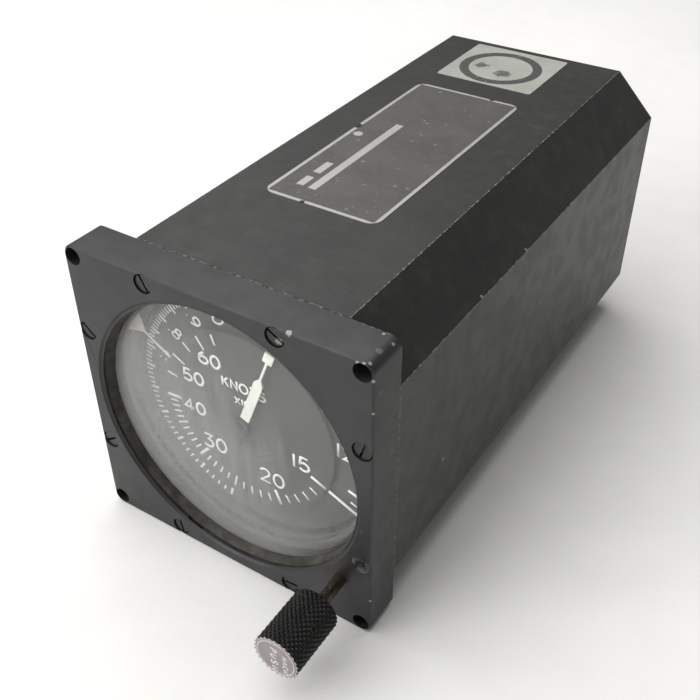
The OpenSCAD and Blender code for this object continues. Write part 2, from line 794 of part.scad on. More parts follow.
module aneroid_rocking_shaft() {
  color([0.75, 0.75, 0.75]) rod(rock_b, rock_r, gear_y - 0.4, rear_y1);
}

// toothed sector with a window between two spokes
module sector(at, n, a0, k0, k1, y0) {
  rp = sector_module * n / 2;
  step = 360 / n;
  rim = rp - root_k * sector_module - 2;
  slab(y0, y0 + gear_thick) translate(at) difference() {
    union() {
      polygon(sector_outline(sector_module, n, a0, k0, k1));
      circle(r = 3.2);
    }
    polygon(concat([for (k = [k0 + 1:k1 - 1]) polar(rim, a0 + step * k)],
                   [for (k = [k1 - 2:-1:k0 + 2]) polar(5.5, a0 + step * k)]));
    circle(r = rock_r + seat_fit);
  }
}

module airspeed_sector() {
  color([0.78, 0.64, 0.3]) sector(rock_a, speed_teeth, speed_dir - 180, -14, 3, sector_y);
}

module aneroid_sector() {
  color([0.78, 0.64, 0.3]) sector(rock_b, aneroid_teeth, aneroid_dir + 180, -12, 3, gear_y);
}

// lever with a roller at its end, at angle a
module lever(at, a) {
  difference() {
    union() {
      rod(at, rock_r + 1.1, capsule_y - 1.5, capsule_y + 1.5);
      slab(capsule_y - 0.8, capsule_y + 0.8) translate(at) ray(a, 0, lever_len, 0.8);
      rod([at[0] + lever_len * cos(a), at[1] + lever_len * sin(a)], roller_r,
          capsule_y - 1.5, capsule_y + 1.5);
    }
    rod(at, rock_r + seat_fit, capsule_y - 3, capsule_y + 3);
  }
}

module airspeed_lever() {
  color([0.6, 0.6, 0.6]) lever(rock_a, -speed_turn / 2);
}

module aneroid_lever() {
  color([0.6, 0.6, 0.6]) lever(rock_b, 180 - aneroid_turn / 2);
}

// corrugated outline of a capsule from the boss to the rim, h is half its height
function wave(r, h, n) = [for (i = [0:2 * n])
  [4 + (r - 5) * i / (2 * n), h * (1 - 0.22 * i / (2 * n)) - (i % 2 == 0 ? 0 : 0.9)]];

module capsule(r, h, inlet) {
  top = wave(r, h / 2, 5);
  rotate_extrude() difference() {
    polygon(concat([[inlet, -h / 2]], [for (p = top) [p[0], -p[1]]], [[r, -0.4], [r, 0.4]],
                   [for (i = [len(top) - 1:-1:0]) top[i]], [[0, h / 2], [0, 0], [inlet, 0]]));
    polygon(concat([[0, 1.2 - h / 2], [3.4, 1.2 - h / 2]], [for (p = top) [p[0], 0.4 - p[1]]],
                   [[r - 1.2, 0]], [for (i = [len(top) - 1:-1:0]) [top[i][0], top[i][1] - 0.4]],
                   [[3.4, h / 2 - 1.2], [0, h / 2 - 1.2]]));
  }
}

module airspeed_capsule() {
  color([0.72, 0.5, 0.3]) translate([post_a[0], capsule_y, (capsule_top + capsule_low) / 2])
    capsule(speed_capsule_r, capsule_h, inlet_r);
}

module aneroid_capsule() {
  color([0.72, 0.5, 0.3]) translate([post_b[0], capsule_y, (aneroid_top + aneroid_low) / 2])
    capsule(aneroid_r, aneroid_h, 0);
}

module airspeed_post() {
  color([0.6, 0.6, 0.6]) translate([post_a[0], capsule_y, post_a[1]]) mirror([0, 0, 1]) union() {
    cylinder(r = post_r, h = 0.8);
    cylinder(r = post_r / 2, h = post_h);
  }
}

module aneroid_post() {
  color([0.6, 0.6, 0.6]) translate([post_b[0], capsule_y, post_b[1]]) union() {
    cylinder(r = post_r, h = 0.8);
    cylinder(r = post_r / 2, h = post_h);
  }
}

module pitot_block() {
  color([0.74, 0.62, 0.34]) difference() {
    translate([post_a[0] - 4, capsule_y - 7, capsule_low - block_h]) cube([8, 14, block_h]);
    rod([post_a[0], tube_z], tube_r + seat_fit, capsule_y + 2, capsule_y + 8);
    rod([post_a[0], tube_z], tube_r * 0.6, capsule_y - 1, capsule_y + 3);
    translate([post_a[0], capsule_y, tube_z]) cylinder(r = inlet_r, h = block_h);
  }
}

module aneroid_stud() {
  color([0.74, 0.62, 0.34]) translate([post_b[0], capsule_y, aneroid_top]) cylinder(r = 3, h = stud_h);
}

module capsule_bars() {
  color([0.6, 0.6, 0.58]) {
    translate([post_a[0] - bar_w / 2, mid_y1, capsule_low - block_h - bar_h])
      cube([bar_w, rear_y - mid_y1, bar_h]);
    translate([post_b[0] - bar_w / 2, mid_y1, aneroid_top + stud_h]) cube([bar_w, rear_y - mid_y1, bar_h]);
  }
}

// centre line of the inner pitot tube, straight, then one smooth bend towards the port
tube_side = [-port_x - post_a[0], -port_drop - tube_z];
tube_way = tube_side / norm(tube_side);
bend_y0 = rear_y1 + 0.5;
bend_y1 = tail_end - 0.5;
bend_n = 24;

function bend_t(i) = min(max((i - 1) / bend_n, 0), 1);
function tube_y(i, past) = i == 0 ? capsule_y + 2.2 - past
  : i == bend_n + 2 ? tail_end + 4 + past : bend_y0 + (bend_y1 - bend_y0) * bend_t(i);
function tube_ring(i, r, m) =
  let (t = bend_t(i), s = norm(tube_side) * t * t * (3 - 2 * t),
       k = norm(tube_side) * 6 * t * (1 - t) / (bend_y1 - bend_y0), q = sqrt(1 + k * k))
  [for (j = [0:m - 1]) let (c = r * cos(360 * j / m), d = r * sin(360 * j / m))
    [post_a[0] + tube_way[0] * (s + c / q) + tube_way[1] * d, tube_y(i, 0) - c * k / q,
     tube_z + tube_way[1] * (s + c / q) - tube_way[0] * d]];

module pitot_tube() {
  m = 14;
  n = bend_n + 2;
  far = (n + 1) * m;
  points = [for (r = [tube_r, tube_r * 0.6]) for (i = [0:n]) each tube_ring(i, r, m)];
  skin = [for (i = [0:n - 1]) for (j = [0:m - 1])
    let (a = i * m + j, b = a + m, d = i * m + (j + 1) % m, c = d + m)
    each [[a, b, c], [a, c, d], [far + a, far + c, far + b], [far + a, far + d, far + c]]];
  ends = [for (j = [0:m - 1]) let (k = (j + 1) % m, e = n * m)
    each [[j, k, far + k], [j, far + k, far + j],
          [e + j, far + e + k, e + k], [e + j, far + e + j, far + e + k]]];
  color([0.72, 0.45, 0.28]) polyhedron(points = points, faces = concat(skin, ends));
}

module fitting(x, bore) {
  color([0.7, 0.68, 0.6]) difference() {
    union() {
      translate([x, port_y0, -port_drop]) rotate([-90, 0, 0])
        cylinder(r = port_hex / sqrt(3), h = hex_h, $fn = 6);
      rod([x, -port_drop], port_hex / 2 - 0.8, port_y0 + hex_h - 0.1, port_y1);
      rod([x, -port_drop], shank_r, rear_in - nut_h - 1, port_y0 + 0.1);
      rod([x, -port_drop], 2.4, tail_end, rear_in);
    }
    rod([x, -port_drop], port_bore_d / 2, port_y1 - port_depth, port_y1 + eps);
    rod([x, -port_drop], bore, tail_end - eps, port_y1);
  }
}

module pitot_fitting() {
  fitting(-port_x, tube_r + seat_fit);
}

module static_fitting() {
  fitting(port_x, tube_r + 0.5);
}

module port_washers() {
  color([0.75, 0.75, 0.72]) for (x = [-port_x, port_x])
    turned([x, -port_drop]) band(shank_r + seat_fit, port_hex / 2, case_len, port_y0);
}

module port_nuts() {
  color([0.7, 0.68, 0.6]) for (x = [-port_x, port_x]) difference() {
    translate([x, rear_in - nut_h, -port_drop]) rotate([-90, 0, 0])
      cylinder(r = port_hex / sqrt(3), h = nut_h, $fn = 6);
    rod([x, -port_drop], shank_r + seat_fit, rear_in - nut_h - eps, rear_in + eps);
  }
}

module sized() {
  scale([panel_fit, 1, panel_fit]) children();
}
sized() bezel_flange();
sized() bezel_screws();
sized() screw_seal();
sized() snap_ring();
sized() clamp_ring();
sized() cover_glass();
sized() window_gasket();
sized() airspeed_dial();
sized() scale_mask();
sized() mach_disc();
sized() pointer();
sized() mach_index_ring();
sized() airspeed_index_ring();
sized() index_guide_studs();
sized() knob();
sized() knob_cap();
sized() knob_set_screw();
sized() knob_shaft();
sized() knob_bushing();
sized() shaft_seal();
sized() index_pinion();
sized() push_collar();
sized() knob_spring();
sized() case_shell();
sized() case_gasket();
sized() data_plate();
sized() square_label();
sized() dial_tube();
sized() mach_sleeve();
sized() mach_gear();
sized() pointer_staff();
sized() pointer_pinion();
sized() hairspring();
sized() hairspring_stud();
sized() standoffs();
sized() front_plate();
sized() middle_plate();
sized() rear_plate();
sized() front_pillars();
sized() rear_pillars();
sized() frame_screws();
sized() pivot_bearings();
sized() airspeed_rocking_shaft();
sized() airspeed_sector();
sized() airspeed_lever();
sized() airspeed_capsule();
sized() airspeed_post();
sized() pitot_block();
sized() capsule_bars();
sized() aneroid_rocking_shaft();
sized() aneroid_sector();
sized() aneroid_lever();
sized() aneroid_capsule();
sized() aneroid_post();
sized() aneroid_stud();
sized() pitot_tube();
sized() pitot_fitting();
sized() static_fitting();
sized() port_washers();
sized() port_nuts();
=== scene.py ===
"""Looks of a panel-mounted airspeed indicator with a Mach scale, lying on a pale table."""

import logging
import math
from dataclasses import dataclass
from enum import Enum

import bmesh
import bpy
import numpy as np
from bpy.types import ID, Material, Mesh, NodeSocket, NodeTree, Object
from mathutils import Matrix, Vector


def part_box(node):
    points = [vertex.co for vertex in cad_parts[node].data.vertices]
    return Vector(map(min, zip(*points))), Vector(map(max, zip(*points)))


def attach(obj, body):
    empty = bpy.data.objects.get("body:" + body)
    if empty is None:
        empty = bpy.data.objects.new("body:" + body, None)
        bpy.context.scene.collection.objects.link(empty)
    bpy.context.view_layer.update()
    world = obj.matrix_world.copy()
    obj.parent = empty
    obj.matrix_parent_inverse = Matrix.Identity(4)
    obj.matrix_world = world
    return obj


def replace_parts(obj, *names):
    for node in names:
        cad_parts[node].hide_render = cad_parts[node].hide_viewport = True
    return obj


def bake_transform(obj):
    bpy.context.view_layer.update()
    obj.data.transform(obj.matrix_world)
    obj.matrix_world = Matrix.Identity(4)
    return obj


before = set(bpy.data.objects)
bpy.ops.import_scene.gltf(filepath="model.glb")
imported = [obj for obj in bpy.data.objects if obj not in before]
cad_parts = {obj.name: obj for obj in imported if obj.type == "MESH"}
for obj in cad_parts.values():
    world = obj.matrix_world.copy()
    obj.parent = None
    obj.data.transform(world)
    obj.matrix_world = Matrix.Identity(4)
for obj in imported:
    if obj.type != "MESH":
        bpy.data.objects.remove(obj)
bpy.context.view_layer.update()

LOG = logging.getLogger("airspeed_indicator")
MM = 0.001
FILM = 0.03  # thickness of paint and print, in millimetres
FULL_TURN = 2 * np.pi
KNOB_AXIS = (32.870, -26.146)
Pair = tuple[float, float]
Triple = tuple[float, float, float]
Colour = Triple


class Body(str, Enum):
    """The bodies that new pieces ride on, and three that the copied spring and posts only name."""

    FIXED = "instrument"
    MACH = "mach_body"
    MACH_INDEX = "mach_index_body"
    SPEED_INDEX = "airspeed_index_body"
    KNOB = "knob_body"
    PUSH = "push_body"
    SPEED_POST = "airspeed_post_body"
    ANEROID_POST = "aneroid_post_body"


class Shading(Enum):
    """How a mesh takes the light: faceted, or round with sharp edges kept."""

    FLAT = 0
    ROUND = 1


class Wire:
    """A node's output; arithmetic on it adds math nodes."""

    def __init__(self, board: "Board", socket: NodeSocket) -> None:
        """Keeps the output and the board that its node stands on."""
        self.board, self.socket = board, socket

    def math(self, operation: str, a: "Value", b: "Value" = 0.0) -> "Wire":
        """Adds one named operation on two values."""
        return self.board.add("Math", 0, {0: a, 1: b}, operation=operation)

    def __add__(self, other: "Value") -> "Wire":
        """The sum."""
        return self.math("ADD", self, other)

    def __sub__(self, other: "Value") -> "Wire":
        """The difference."""
        return self.math("SUBTRACT", self, other)

    def __rsub__(self, other: float) -> "Wire":
        """A plain value less this one."""
        return self.math("SUBTRACT", other, self)

    def __mul__(self, other: "Value") -> "Wire":
        """The product."""
        return self.math("MULTIPLY", self, other)

    def __truediv__(self, other: "Value") -> "Wire":
        """The quotient."""
        return self.math("DIVIDE", self, other)

    def __abs__(self) -> "Wire":
        """The value without its sign."""
        return self.math("ABSOLUTE", self)

    def low(self, other: "Value") -> "Wire":
        """The smaller of two."""
        return self.math("MINIMUM", self, other)

    def high(self, other: "Value") -> "Wire":
        """The larger of two."""
        return self.math("MAXIMUM", self, other)

    def below(self, limit: float) -> "Wire":
        """1 under the limit and 0 from there on."""
        return self.math("LESS_THAN", self, limit)

    def reach(self, other: "Wire") -> "Wire":
        """The length of a flat vector that has these two parts."""
        return self.math("SQRT", self * self + other * other)

    def clamped(self) -> "Wire":
        """Keeps the last operation's result between 0 and 1."""
        self.socket.node.use_clamp = True
        return self

    def step(self, low: float, high: float) -> "Wire":
        """A share that rises smoothly from 0 at low to 1 at high."""
        feeds = {"Value": self, "From Min": low, "From Max": high}
        return self.board.add("MapRange", "Result", feeds, interpolation_type="SMOOTHSTEP")

    def beside(self, name: str) -> "Wire":
        """Another output of the same node."""
        return Wire(self.board, self.socket.node.outputs[name])


Value = Wire | float


class Board:
    """A node tree with short calls for adding and joining its nodes."""

    def __init__(self, tree: NodeTree) -> None:
        """Keeps the tree that the calls work on."""
        self.tree = tree

    def feed(self, target: NodeSocket, value: object) -> None:
        """Joins a wire to an input, or sets the input's own value.

        Args:
            target: the input.
            value: a wire, or a plain value; a colour is made opaque.
        """
        if isinstance(value, Wire):
            self.tree.links.new(value.socket, target)
        else:
            target.default_value = (*value, 1.0) if target.type == "RGBA" else value

    def add(self, kind: str, give: int | str, feeds: dict[int | str, object] | None = None,
            **settings: object) -> Wire:
        """Adds a node.

        Args:
            kind: the shader node's type.
            give: which output is wanted.
            feeds: wires and values by input.
            settings: the node's properties, set before its inputs are fed.
        Returns:
            The wanted output.
        """
        made = self.tree.nodes.new("ShaderNode" + kind)
        for key, value in settings.items():
            setattr(made, key, value)
        for key, value in (feeds or {}).items():
            self.feed(made.inputs[key], value)
        return Wire(self, made.outputs[give])

    def mix(self, share: Wire, a: Wire | Colour, b: Wire | Colour) -> Wire:
        """Mixes two colours; the share is that of the second."""
        return self.add("Mix", 2, {0: share, 6: a, 7: b}, data_type="RGBA")

    def blend(self, share: Wire, a: Value, b: Value) -> Wire:
        """Mixes two plain values; the share is that of the second."""
        return self.add("Mix", 0, {0: share, 2: a, 3: b}, data_type="FLOAT")

    def noise(self, at: Wire, scale: Value, detail: float = 3.0, rough: float = 0.55) -> Wire:
        """A cloudy pattern between 0 and 1, of a given fineness, with finer layers over it."""
        feeds = {"Vector": at, "Scale": scale, "Detail": detail, "Roughness": rough}
        return self.add("TexNoise", "Fac", feeds)

    def millimetres(self) -> Wire:
        """The object's own coordinates, counted in millimetres."""
        feeds = {"Vector": self.add("TexCoord", "Object"), "Scale": (1 / MM, 1 / MM, 1 / MM)}
        return self.add("Mapping", "Vector", feeds)

    def parts(self, vector: Wire) -> tuple[Wire, Wire, Wire]:
        """Splits a vector into x, y and z."""
        x = self.add("SeparateXYZ", "X", {0: vector})
        return x, x.beside("Y"), x.beside("Z")

    def call(self, group: NodeTree, **values: object) -> Wire:
        """Places a node group, feeds its inputs by name and gives its first output."""
        return self.add("Group", 0, values, node_tree=group)


class Effects:
    """The effects that several finishes share, each a node group that is built once."""

    def __init__(self) -> None:
        """Builds every group."""
        self.mottle = self._mottle()
        self.grain = self._grain()
        self.wear = self._wear()
        self.chip = self._chip()
        self.dust = self._dust()

    @staticmethod
    def _open(name: str, outputs: str, values: str, colours: str = "", places: str = "Vector"
              ) -> tuple[Board, dict[str, NodeSocket], list[Wire]]:
        """Starts a group with named sockets.

        Args:
            name: the group's name.
            outputs: names of outputs; the one named Color is a colour and the rest are values.
            values: names of the inputs that take a value.
            colours: names of the inputs that take a colour.
            places: names of the inputs that take a place.
        Returns:
            The board, the sockets that go out, and what comes in: places, colours, values.
        """
        tree = bpy.data.node_groups.new(name, "ShaderNodeTree")
        for names, kind in ((places, "Vector"), (colours, "Color"), (values, "Float")):
            for key in names.split():
                tree.interface.new_socket(key, in_out="INPUT", socket_type="NodeSocket" + kind)
        for key in outputs.split():
            kind = "NodeSocketColor" if key == "Color" else "NodeSocketFloat"
            tree.interface.new_socket(key, in_out="OUTPUT", socket_type=kind)
        board = Board(tree)
        given = tree.nodes.new("NodeGroupInput").outputs
        wires = [Wire(board, given[key]) for key in f"{places} {colours} {values}".split()]
        return board, dict(tree.nodes.new("NodeGroupOutput").inputs.items()), wires

    def _mottle(self) -> NodeTree:
        """Two colours in soft clouds with finer specks over them.

        Returns:
            The group.
        """
        fineness, wide_part, fine_part, bounds = 7.0, 0.65, 0.35, (0.32, 0.68)
        board, out, (at, first, second, scale) = self._open("mottle", "Color", "Scale",
                                                            "First Second")
        wide, fine = (board.noise(at, scale * times, 4.0, 0.5) for times in (1.0, fineness))
        share = (wide * wide_part + fine * fine_part).step(*bounds)
        board.feed(out["Color"], board.mix(share, first, second))
        return board.tree

    def _grain(self) -> NodeTree:
        """A fine grain: roughness between two values, and a height for a bump.

        Returns:
            The group.
        """
        coarseness, fine_part, slow_part, bounds = 0.06, 0.4, 0.6, (0.3, 0.7)
        board, out, (at, scale, low, high) = self._open("grain", "Roughness Height",
                                                        "Scale Low High")
        fine = board.noise(at, scale, 2.0, 0.5)
        slow = board.noise(at, scale * coarseness, 3.0, 0.5).step(*bounds)
        board.feed(out["Roughness"], low + (high - low) * (fine * fine_part + slow * slow_part))
        board.feed(out["Height"], fine)
        return board.tree

    def _wear(self) -> NodeTree:
        """A mask broken up along edges: the distance to an edge against a cloudy pattern.

        Returns:
            The group.
        """
        hardness, fade = 9.0, 0.15
        board, out, (at, edge, width, amount, scale) = self._open("edge_wear", "Mask",
                                                                  "Edge Width Amount Scale")
        near = (1.0 - edge / width).clamped()
        mask = ((near * amount + board.noise(at, scale, 5.0, 0.65) - 1.0) * hardness).clamped()
        board.feed(out["Mask"], mask * near.step(0.0, fade))
        return board.tree

    def _chip(self) -> NodeTree:
        """A ragged spot: the distance from a centre, with a cloudy pattern on its rim.

        Returns:
            The group.
        """
        fineness, raggedness, hardness = 1.6, 1.9, 7.0
        board, out, (at, centre, radius) = self._open("chip", "Mask", "Radius", "",
                                                      "Vector Centre")
        apart = board.add("VectorMath", "Value", {0: at, 1: centre}, operation="DISTANCE")
        rim = (board.noise(at, fineness, 4.0, 0.6) - 0.5) * raggedness
        board.feed(out["Mask"], ((1.0 - apart / radius + rim) * hardness).clamped())
        return board.tree

    def _dust(self) -> NodeTree:
        """Pale dust in thin clouds and scattered specks.

        Returns:
            The group.
        """
        fineness, speck, fade = 5.0, 0.16, 0.08
        bounds, cloud_part, speck_part = (0.45, 0.8), 0.6, 0.5
        board, out, (at, scale, amount) = self._open("dust", "Mask", "Scale Amount")
        cloud = board.noise(at, scale, 6.0, 0.7).step(*bounds)
        apart = board.add("TexVoronoi", "Distance", {"Vector": at, "Scale": scale * fineness})
        both = cloud * cloud_part + (speck - apart).step(0.0, fade) * speck_part
        board.feed(out["Mask"], both.clamped() * amount)
        return board.tree


FX = Effects()


@dataclass
class Layers:
    """What a finish has laid down so far, and the coordinates in millimetres that it reads."""

    material: Material
    board: Board
    at: Wire
    colour: Wire
    rough: Wire
    metal: Value

    def parts(self) -> tuple[Wire, Wire, Wire]:
        """The coordinates as x, y and z."""
        return self.board.parts(self.at)

    def noise(self, scale: float, detail: float = 3.0, rough: float = 0.55) -> Wire:
        """A cloudy pattern at the coordinates."""
        return self.board.noise(self.at, scale, detail, rough)

    def spot(self, centre: Triple, radius: float) -> Wire:
        """The mask of a ragged spot."""
        return self.board.call(FX.chip, Vector=self.at, Centre=centre, Radius=radius)

    def lay(self, mask: Wire, colour: Colour) -> None:
        """Lays a colour over what is there, as far as a mask says."""
        self.colour = self.board.mix(mask, self.colour, colour)

    def shade(self, feeds: dict[str, object]) -> Material:
        """Feeds colour, roughness and more to the material's shader.

        Args:
            feeds: the further inputs by name.
        Returns:
            The material.
        """
        shader = self.material.node_tree.nodes["Principled BSDF"]
        for key, value in {"Base Color": self.colour, "Roughness": self.rough, **feeds}.items():
            self.board.feed(shader.inputs[key], value)
        return self.material


@dataclass(frozen=True)
class Finish:
    """A finish with cloudy colour, grain in its roughness and a fine bump.

    Lengths are in millimetres; scales are repeats per millimetre.
    """

    name: str
    first: Colour
    second: Colour
    metal: float = 0.0
    rough: Pair = (0.4, 0.55)
    cloud: float = 0.08
    grain: float = 3.0
    bump: float = 0.08
    bump_depth: float = 0.2
    coat: float = 0.0
    dust: float = 0.0
    dust_scale: float = 0.22
    dust_colour: Colour = (0.42, 0.41, 0.38)
    dust_rough: float = 0.4
    gloss: float = 0.5
    # painted_glow: emission of the colour itself, painted light that lifts a finish lying in shade
    painted_glow: float = 0.0
    spots: tuple[tuple[Triple, float, Colour], ...] = ()

    @property
    def label(self) -> str:
        """The material's name, apart from the carried-over plain ones."""
        return "finish_" + self.name

    def open(self) -> Layers:
        """Starts the material with its cloudy colour and grained roughness.

        Returns:
            Its first layers.
        """
        made = bpy.data.materials.new(self.label)
        made.use_nodes = True
        board = Board(made.node_tree)
        at = board.millimetres()
        colour = board.call(FX.mottle, Vector=at, First=self.first, Second=self.second,
                            Scale=self.cloud)
        rough = board.call(FX.grain, Vector=at, Scale=self.grain, Low=self.rough[0],
                           High=self.rough[1])
        return Layers(made, board, at, colour, rough, self.metal)

    def extras(self, on: Layers) -> None:
        """Lets a special finish add marks to its layers; the plain one adds none."""

    def build(self) -> Material:
        """Builds the material: marks, spots, dust, bump and any painted emission over the cloudy
        start.

        Returns:
            The material.
        """
        on = self.open()
        height = on.rough.beside("Height")
        self.extras(on)
        for centre, radius, shade in self.spots:
            on.lay(on.spot(centre, radius), shade)
        if self.dust:
            dust = on.board.call(FX.dust, Vector=on.at, Scale=self.dust_scale, Amount=self.dust)
            on.lay(dust, self.dust_colour)
            on.rough = (on.rough + dust * self.dust_rough).clamped()
        bump = {"Strength": self.bump, "Distance": self.bump_depth * MM, "Height": height}
        feeds = {"Metallic": on.metal, "Coat Weight": self.coat, "Specular IOR Level": self.gloss,
                 "Normal": on.board.add("Bump", "Normal", bump)}
        # painted light: the colour shines by itself, not lit by any lamp
        if self.painted_glow:
            feeds |= {"Emission Color": on.colour, "Emission Strength": self.painted_glow}
        on.material.diffuse_color = (*self.first, 1)
        return on.shade(feeds)

    def dress(self, mesh: Mesh) -> Mesh:
        """Gives a mesh this finish in place of what it wears.

        Args:
            mesh: the mesh.
        Returns:
            The same mesh.
        """
        mesh.materials.clear()
        mesh.materials.append(bpy.data.materials.get(self.label) or self.build())
        return mesh


@dataclass(frozen=True)
class WornPaint(Finish):
    """Paint that is rubbed to bare metal along the edges of a block, with chips at named places."""

    bare: Colour = (0.30, 0.285, 0.245)
    bare_rough: float = 0.5
    bare_metal: float = 0.35
    half: float = 41.275
    cut: float = 0.0
    ends: Pair = (-10.5, 0.0)
    width: float = 1.0
    amount: float = 0.45
    chips: tuple[tuple[Triple, float], ...] = ()

    def edge(self, on: Layers) -> Wire:
        """Distance from the nearest edge of the block: the sum of the two smallest distances from
        its flats, from its long chamfers where it has them, and from its ends.

        Args:
            on: the layers that give the coordinates.
        Returns:
            The distance.
        """
        x, y, z = on.parts()
        along = (y - self.ends[0]).low(self.ends[1] - y)
        wide, tall = abs(x), abs(z)
        across, up = self.half - wide, self.half - tall
        nearest, second = across.low(up), across.high(up)
        if self.cut:
            slant = (2 * self.half - self.cut - (wide + tall)) * math.sqrt(0.5)
            nearest, second = nearest.low(slant), second.low(nearest.high(slant))
        return nearest + second.low(along)

    def extras(self, on: Layers) -> None:
        """Rubs the edges pale and chips the named places down to bare metal.

        Args:
            on: the paint's layers.
        """
        place = {"Vector": on.at, "Edge": self.edge(on)}
        rubbed = on.board.call(FX.wear, **place, Width=self.width * 3, Amount=0.35, Scale=0.35)
        on.lay(rubbed * 0.5, tuple(c * 2.2 + 0.02 for c in self.second))
        bare = on.board.call(FX.wear, **place, Width=self.width, Amount=self.amount, Scale=0.8)
        for centre, radius in self.chips:
            bare = bare.high(on.spot(centre, radius))
        on.lay(bare, self.bare)
        on.rough = on.board.blend(bare, on.rough, self.bare_rough)
        on.metal = bare * self.bare_metal


@dataclass(frozen=True)
class BladePaint(Finish):
    """Cream paint on the pointer's blade; its boss and tail are black."""

    dark: Colour = (0.012, 0.012, 0.012)
    turn: float = 21.0
    start: Pair = (2.25, 2.35)

    def extras(self, on: Layers) -> None:
        """Paints black what lies behind the start of the blade, measured along it.

        Args:
            on: the cream's layers.
        """
        x, _, z = on.parts()
        angle = math.radians(self.turn)
        along = x * math.sin(angle) + z * math.cos(angle)
        on.lay(1.0 - along.step(*self.start), self.dark)


@dataclass(frozen=True)
class RimPaint(Finish):
    """One colour round the rim, another one on what lies inside a bore."""

    arm: Colour = (0.72, 0.7, 0.64)
    bore: float = 34.9

    def extras(self, on: Layers) -> None:
        """Colours what lies inside the bore, by the distance from the axis."""
        x, _, z = on.parts()
        on.lay(x.reach(z).below(self.bore), self.arm)


@dataclass(frozen=True)
class KnurlPaint(Finish):
    """Black on the knurl, worn grey on its points, with the bare end face in purple grey."""

    end: Colour = (0.46, 0.40, 0.415)
    end_y: Pair = (-36.05, -35.95)
    end_metal: float = 0.35
    crest: Pair = (5.88, 6.05)
    worn: Colour = (0.16, 0.15, 0.14)

    def extras(self, on: Layers) -> None:
        """Wears the points by their distance from the knob's axis and bares the end by its depth.

        Args:
            on: the black's layers.
        """
        x, y, z = on.parts()
        away = (x - KNOB_AXIS[0]).reach(z - KNOB_AXIS[1])
        on.lay(away.step(*self.crest) * on.noise(0.6).step(0.45, 0.7) * 0.6, self.worn)
        bare = 1.0 - y.step(*self.end_y)
        on.lay(bare, self.end)
        on.metal = bare * self.end_metal


@dataclass(frozen=True)
class PlateFoil(Finish):
    """Foil plate on the top face: bare metal border, anodised field, pale blank bars and a dot.

    The plate and each bar are a middle and two half sides; the dot is a middle and a radius.
    """

    border: Colour = (0.45, 0.44, 0.42)
    plate: tuple[float, ...] = (-1.95, 73.05, 16.25, 39.25)
    band: Pair = (1.1, 1.22)
    bars: tuple[tuple[float, ...], ...] = ((-8.3, 62.0, 1.1, 21.5), (-12.05, 51.35, 1.05, 3.15),
                                           (-12.05, 43.25, 1.05, 2.45))
    bar_edge: Pair = (-0.06, 0.06)
    dot: Triple = (-15.2, 72.8, 1.4)
    dot_edge: float = 0.2
    bare_metal: float = 0.6

    @staticmethod
    def inset(x: Wire, y: Wire, area: tuple[float, ...]) -> Wire:
        """How far inside a rectangle of the top face a point lies."""
        return (area[2] - abs(x - area[0])).low(area[3] - abs(y - area[1]))

    def extras(self, on: Layers) -> None:
        """Bares the ragged border, the bars, the dot and some rubbed places.

        Args:
            on: the anodised field's layers.
        """
        x, y, _ = on.parts()
        ragged = self.inset(x, y, self.plate) + on.noise(0.7) * 0.35
        bare = 1.0 - ragged.step(*self.band)
        for bar in self.bars:
            bare = bare.high(self.inset(x, y, bar).step(*self.bar_edge))
        away = (x - self.dot[0]).reach(y - self.dot[1])
        bare = bare.high(1.0 - away.step(self.dot[2] - self.dot_edge, self.dot[2]))
        bare = bare.high(on.noise(0.5, 5.0, 0.7).step(0.62, 0.72) * 0.5)
        on.lay(bare, self.border)
        on.metal = bare * self.bare_metal


@dataclass(frozen=True)
class LabelPaper(Finish):
    """Pale stuck-on label with a dark ring, a pale middle and two thumb smudges."""

    ink: Colour = (0.05, 0.05, 0.047)
    middle: Pair = (-2.9, 135.3)
    ring: Pair = (9.8, 12.7)
    soft: float = 0.25
    smudges: tuple[Triple, ...] = ((-9.0, 134.5, 2.6), (-0.5, 131.5, 3.0))
    smudge_ink: float = 0.85

    def extras(self, on: Layers) -> None:
        """Inks the ring by the distance from its middle and darkens the smudges.

        Args:
            on: the paper's layers.
        """
        x, y, _ = on.parts()
        away = (x - self.middle[0]).reach(y - self.middle[1]) + on.noise(1.2) * 0.3
        rises, falls = (away.step(edge, edge + self.soft) for edge in self.ring)
        ink = rises * (1.0 - falls) * on.noise(0.8, 5.0, 0.7).step(0.3, 0.42)
        cloud = (on.noise(0.7, 4.0) - 0.5) * 5.0
        for px, py, size in self.smudges:
            spot = 1.0 - ((x - px).reach(y - py) + cloud).step(size * 0.5, size)
            ink = ink.high(spot * self.smudge_ink)
        on.lay(ink, self.ink)


@dataclass(frozen=True)
class WindowGlass(Finish):
    """Clear plate glass that lets lamp light through to the dial."""

    bend: float = 1.5

    def build(self) -> Material:
        """Builds the glass: a smooth transmitting shader, and clear for rays from lamps.

        Returns:
            The material.
        """
        on = self.open()
        on.shade({"Transmission Weight": 1.0, "IOR": self.bend})
        board, nodes = on.board, on.material.node_tree.nodes
        either = board.add("MixShader", 0, {0: board.add("LightPath", "Is Shadow Ray"),
                                            1: Wire(board, nodes["Principled BSDF"].outputs[0]),
                                            2: board.add("BsdfTransparent", 0)})
        board.feed(nodes["Material Output"].inputs["Surface"], either)
        return on.material


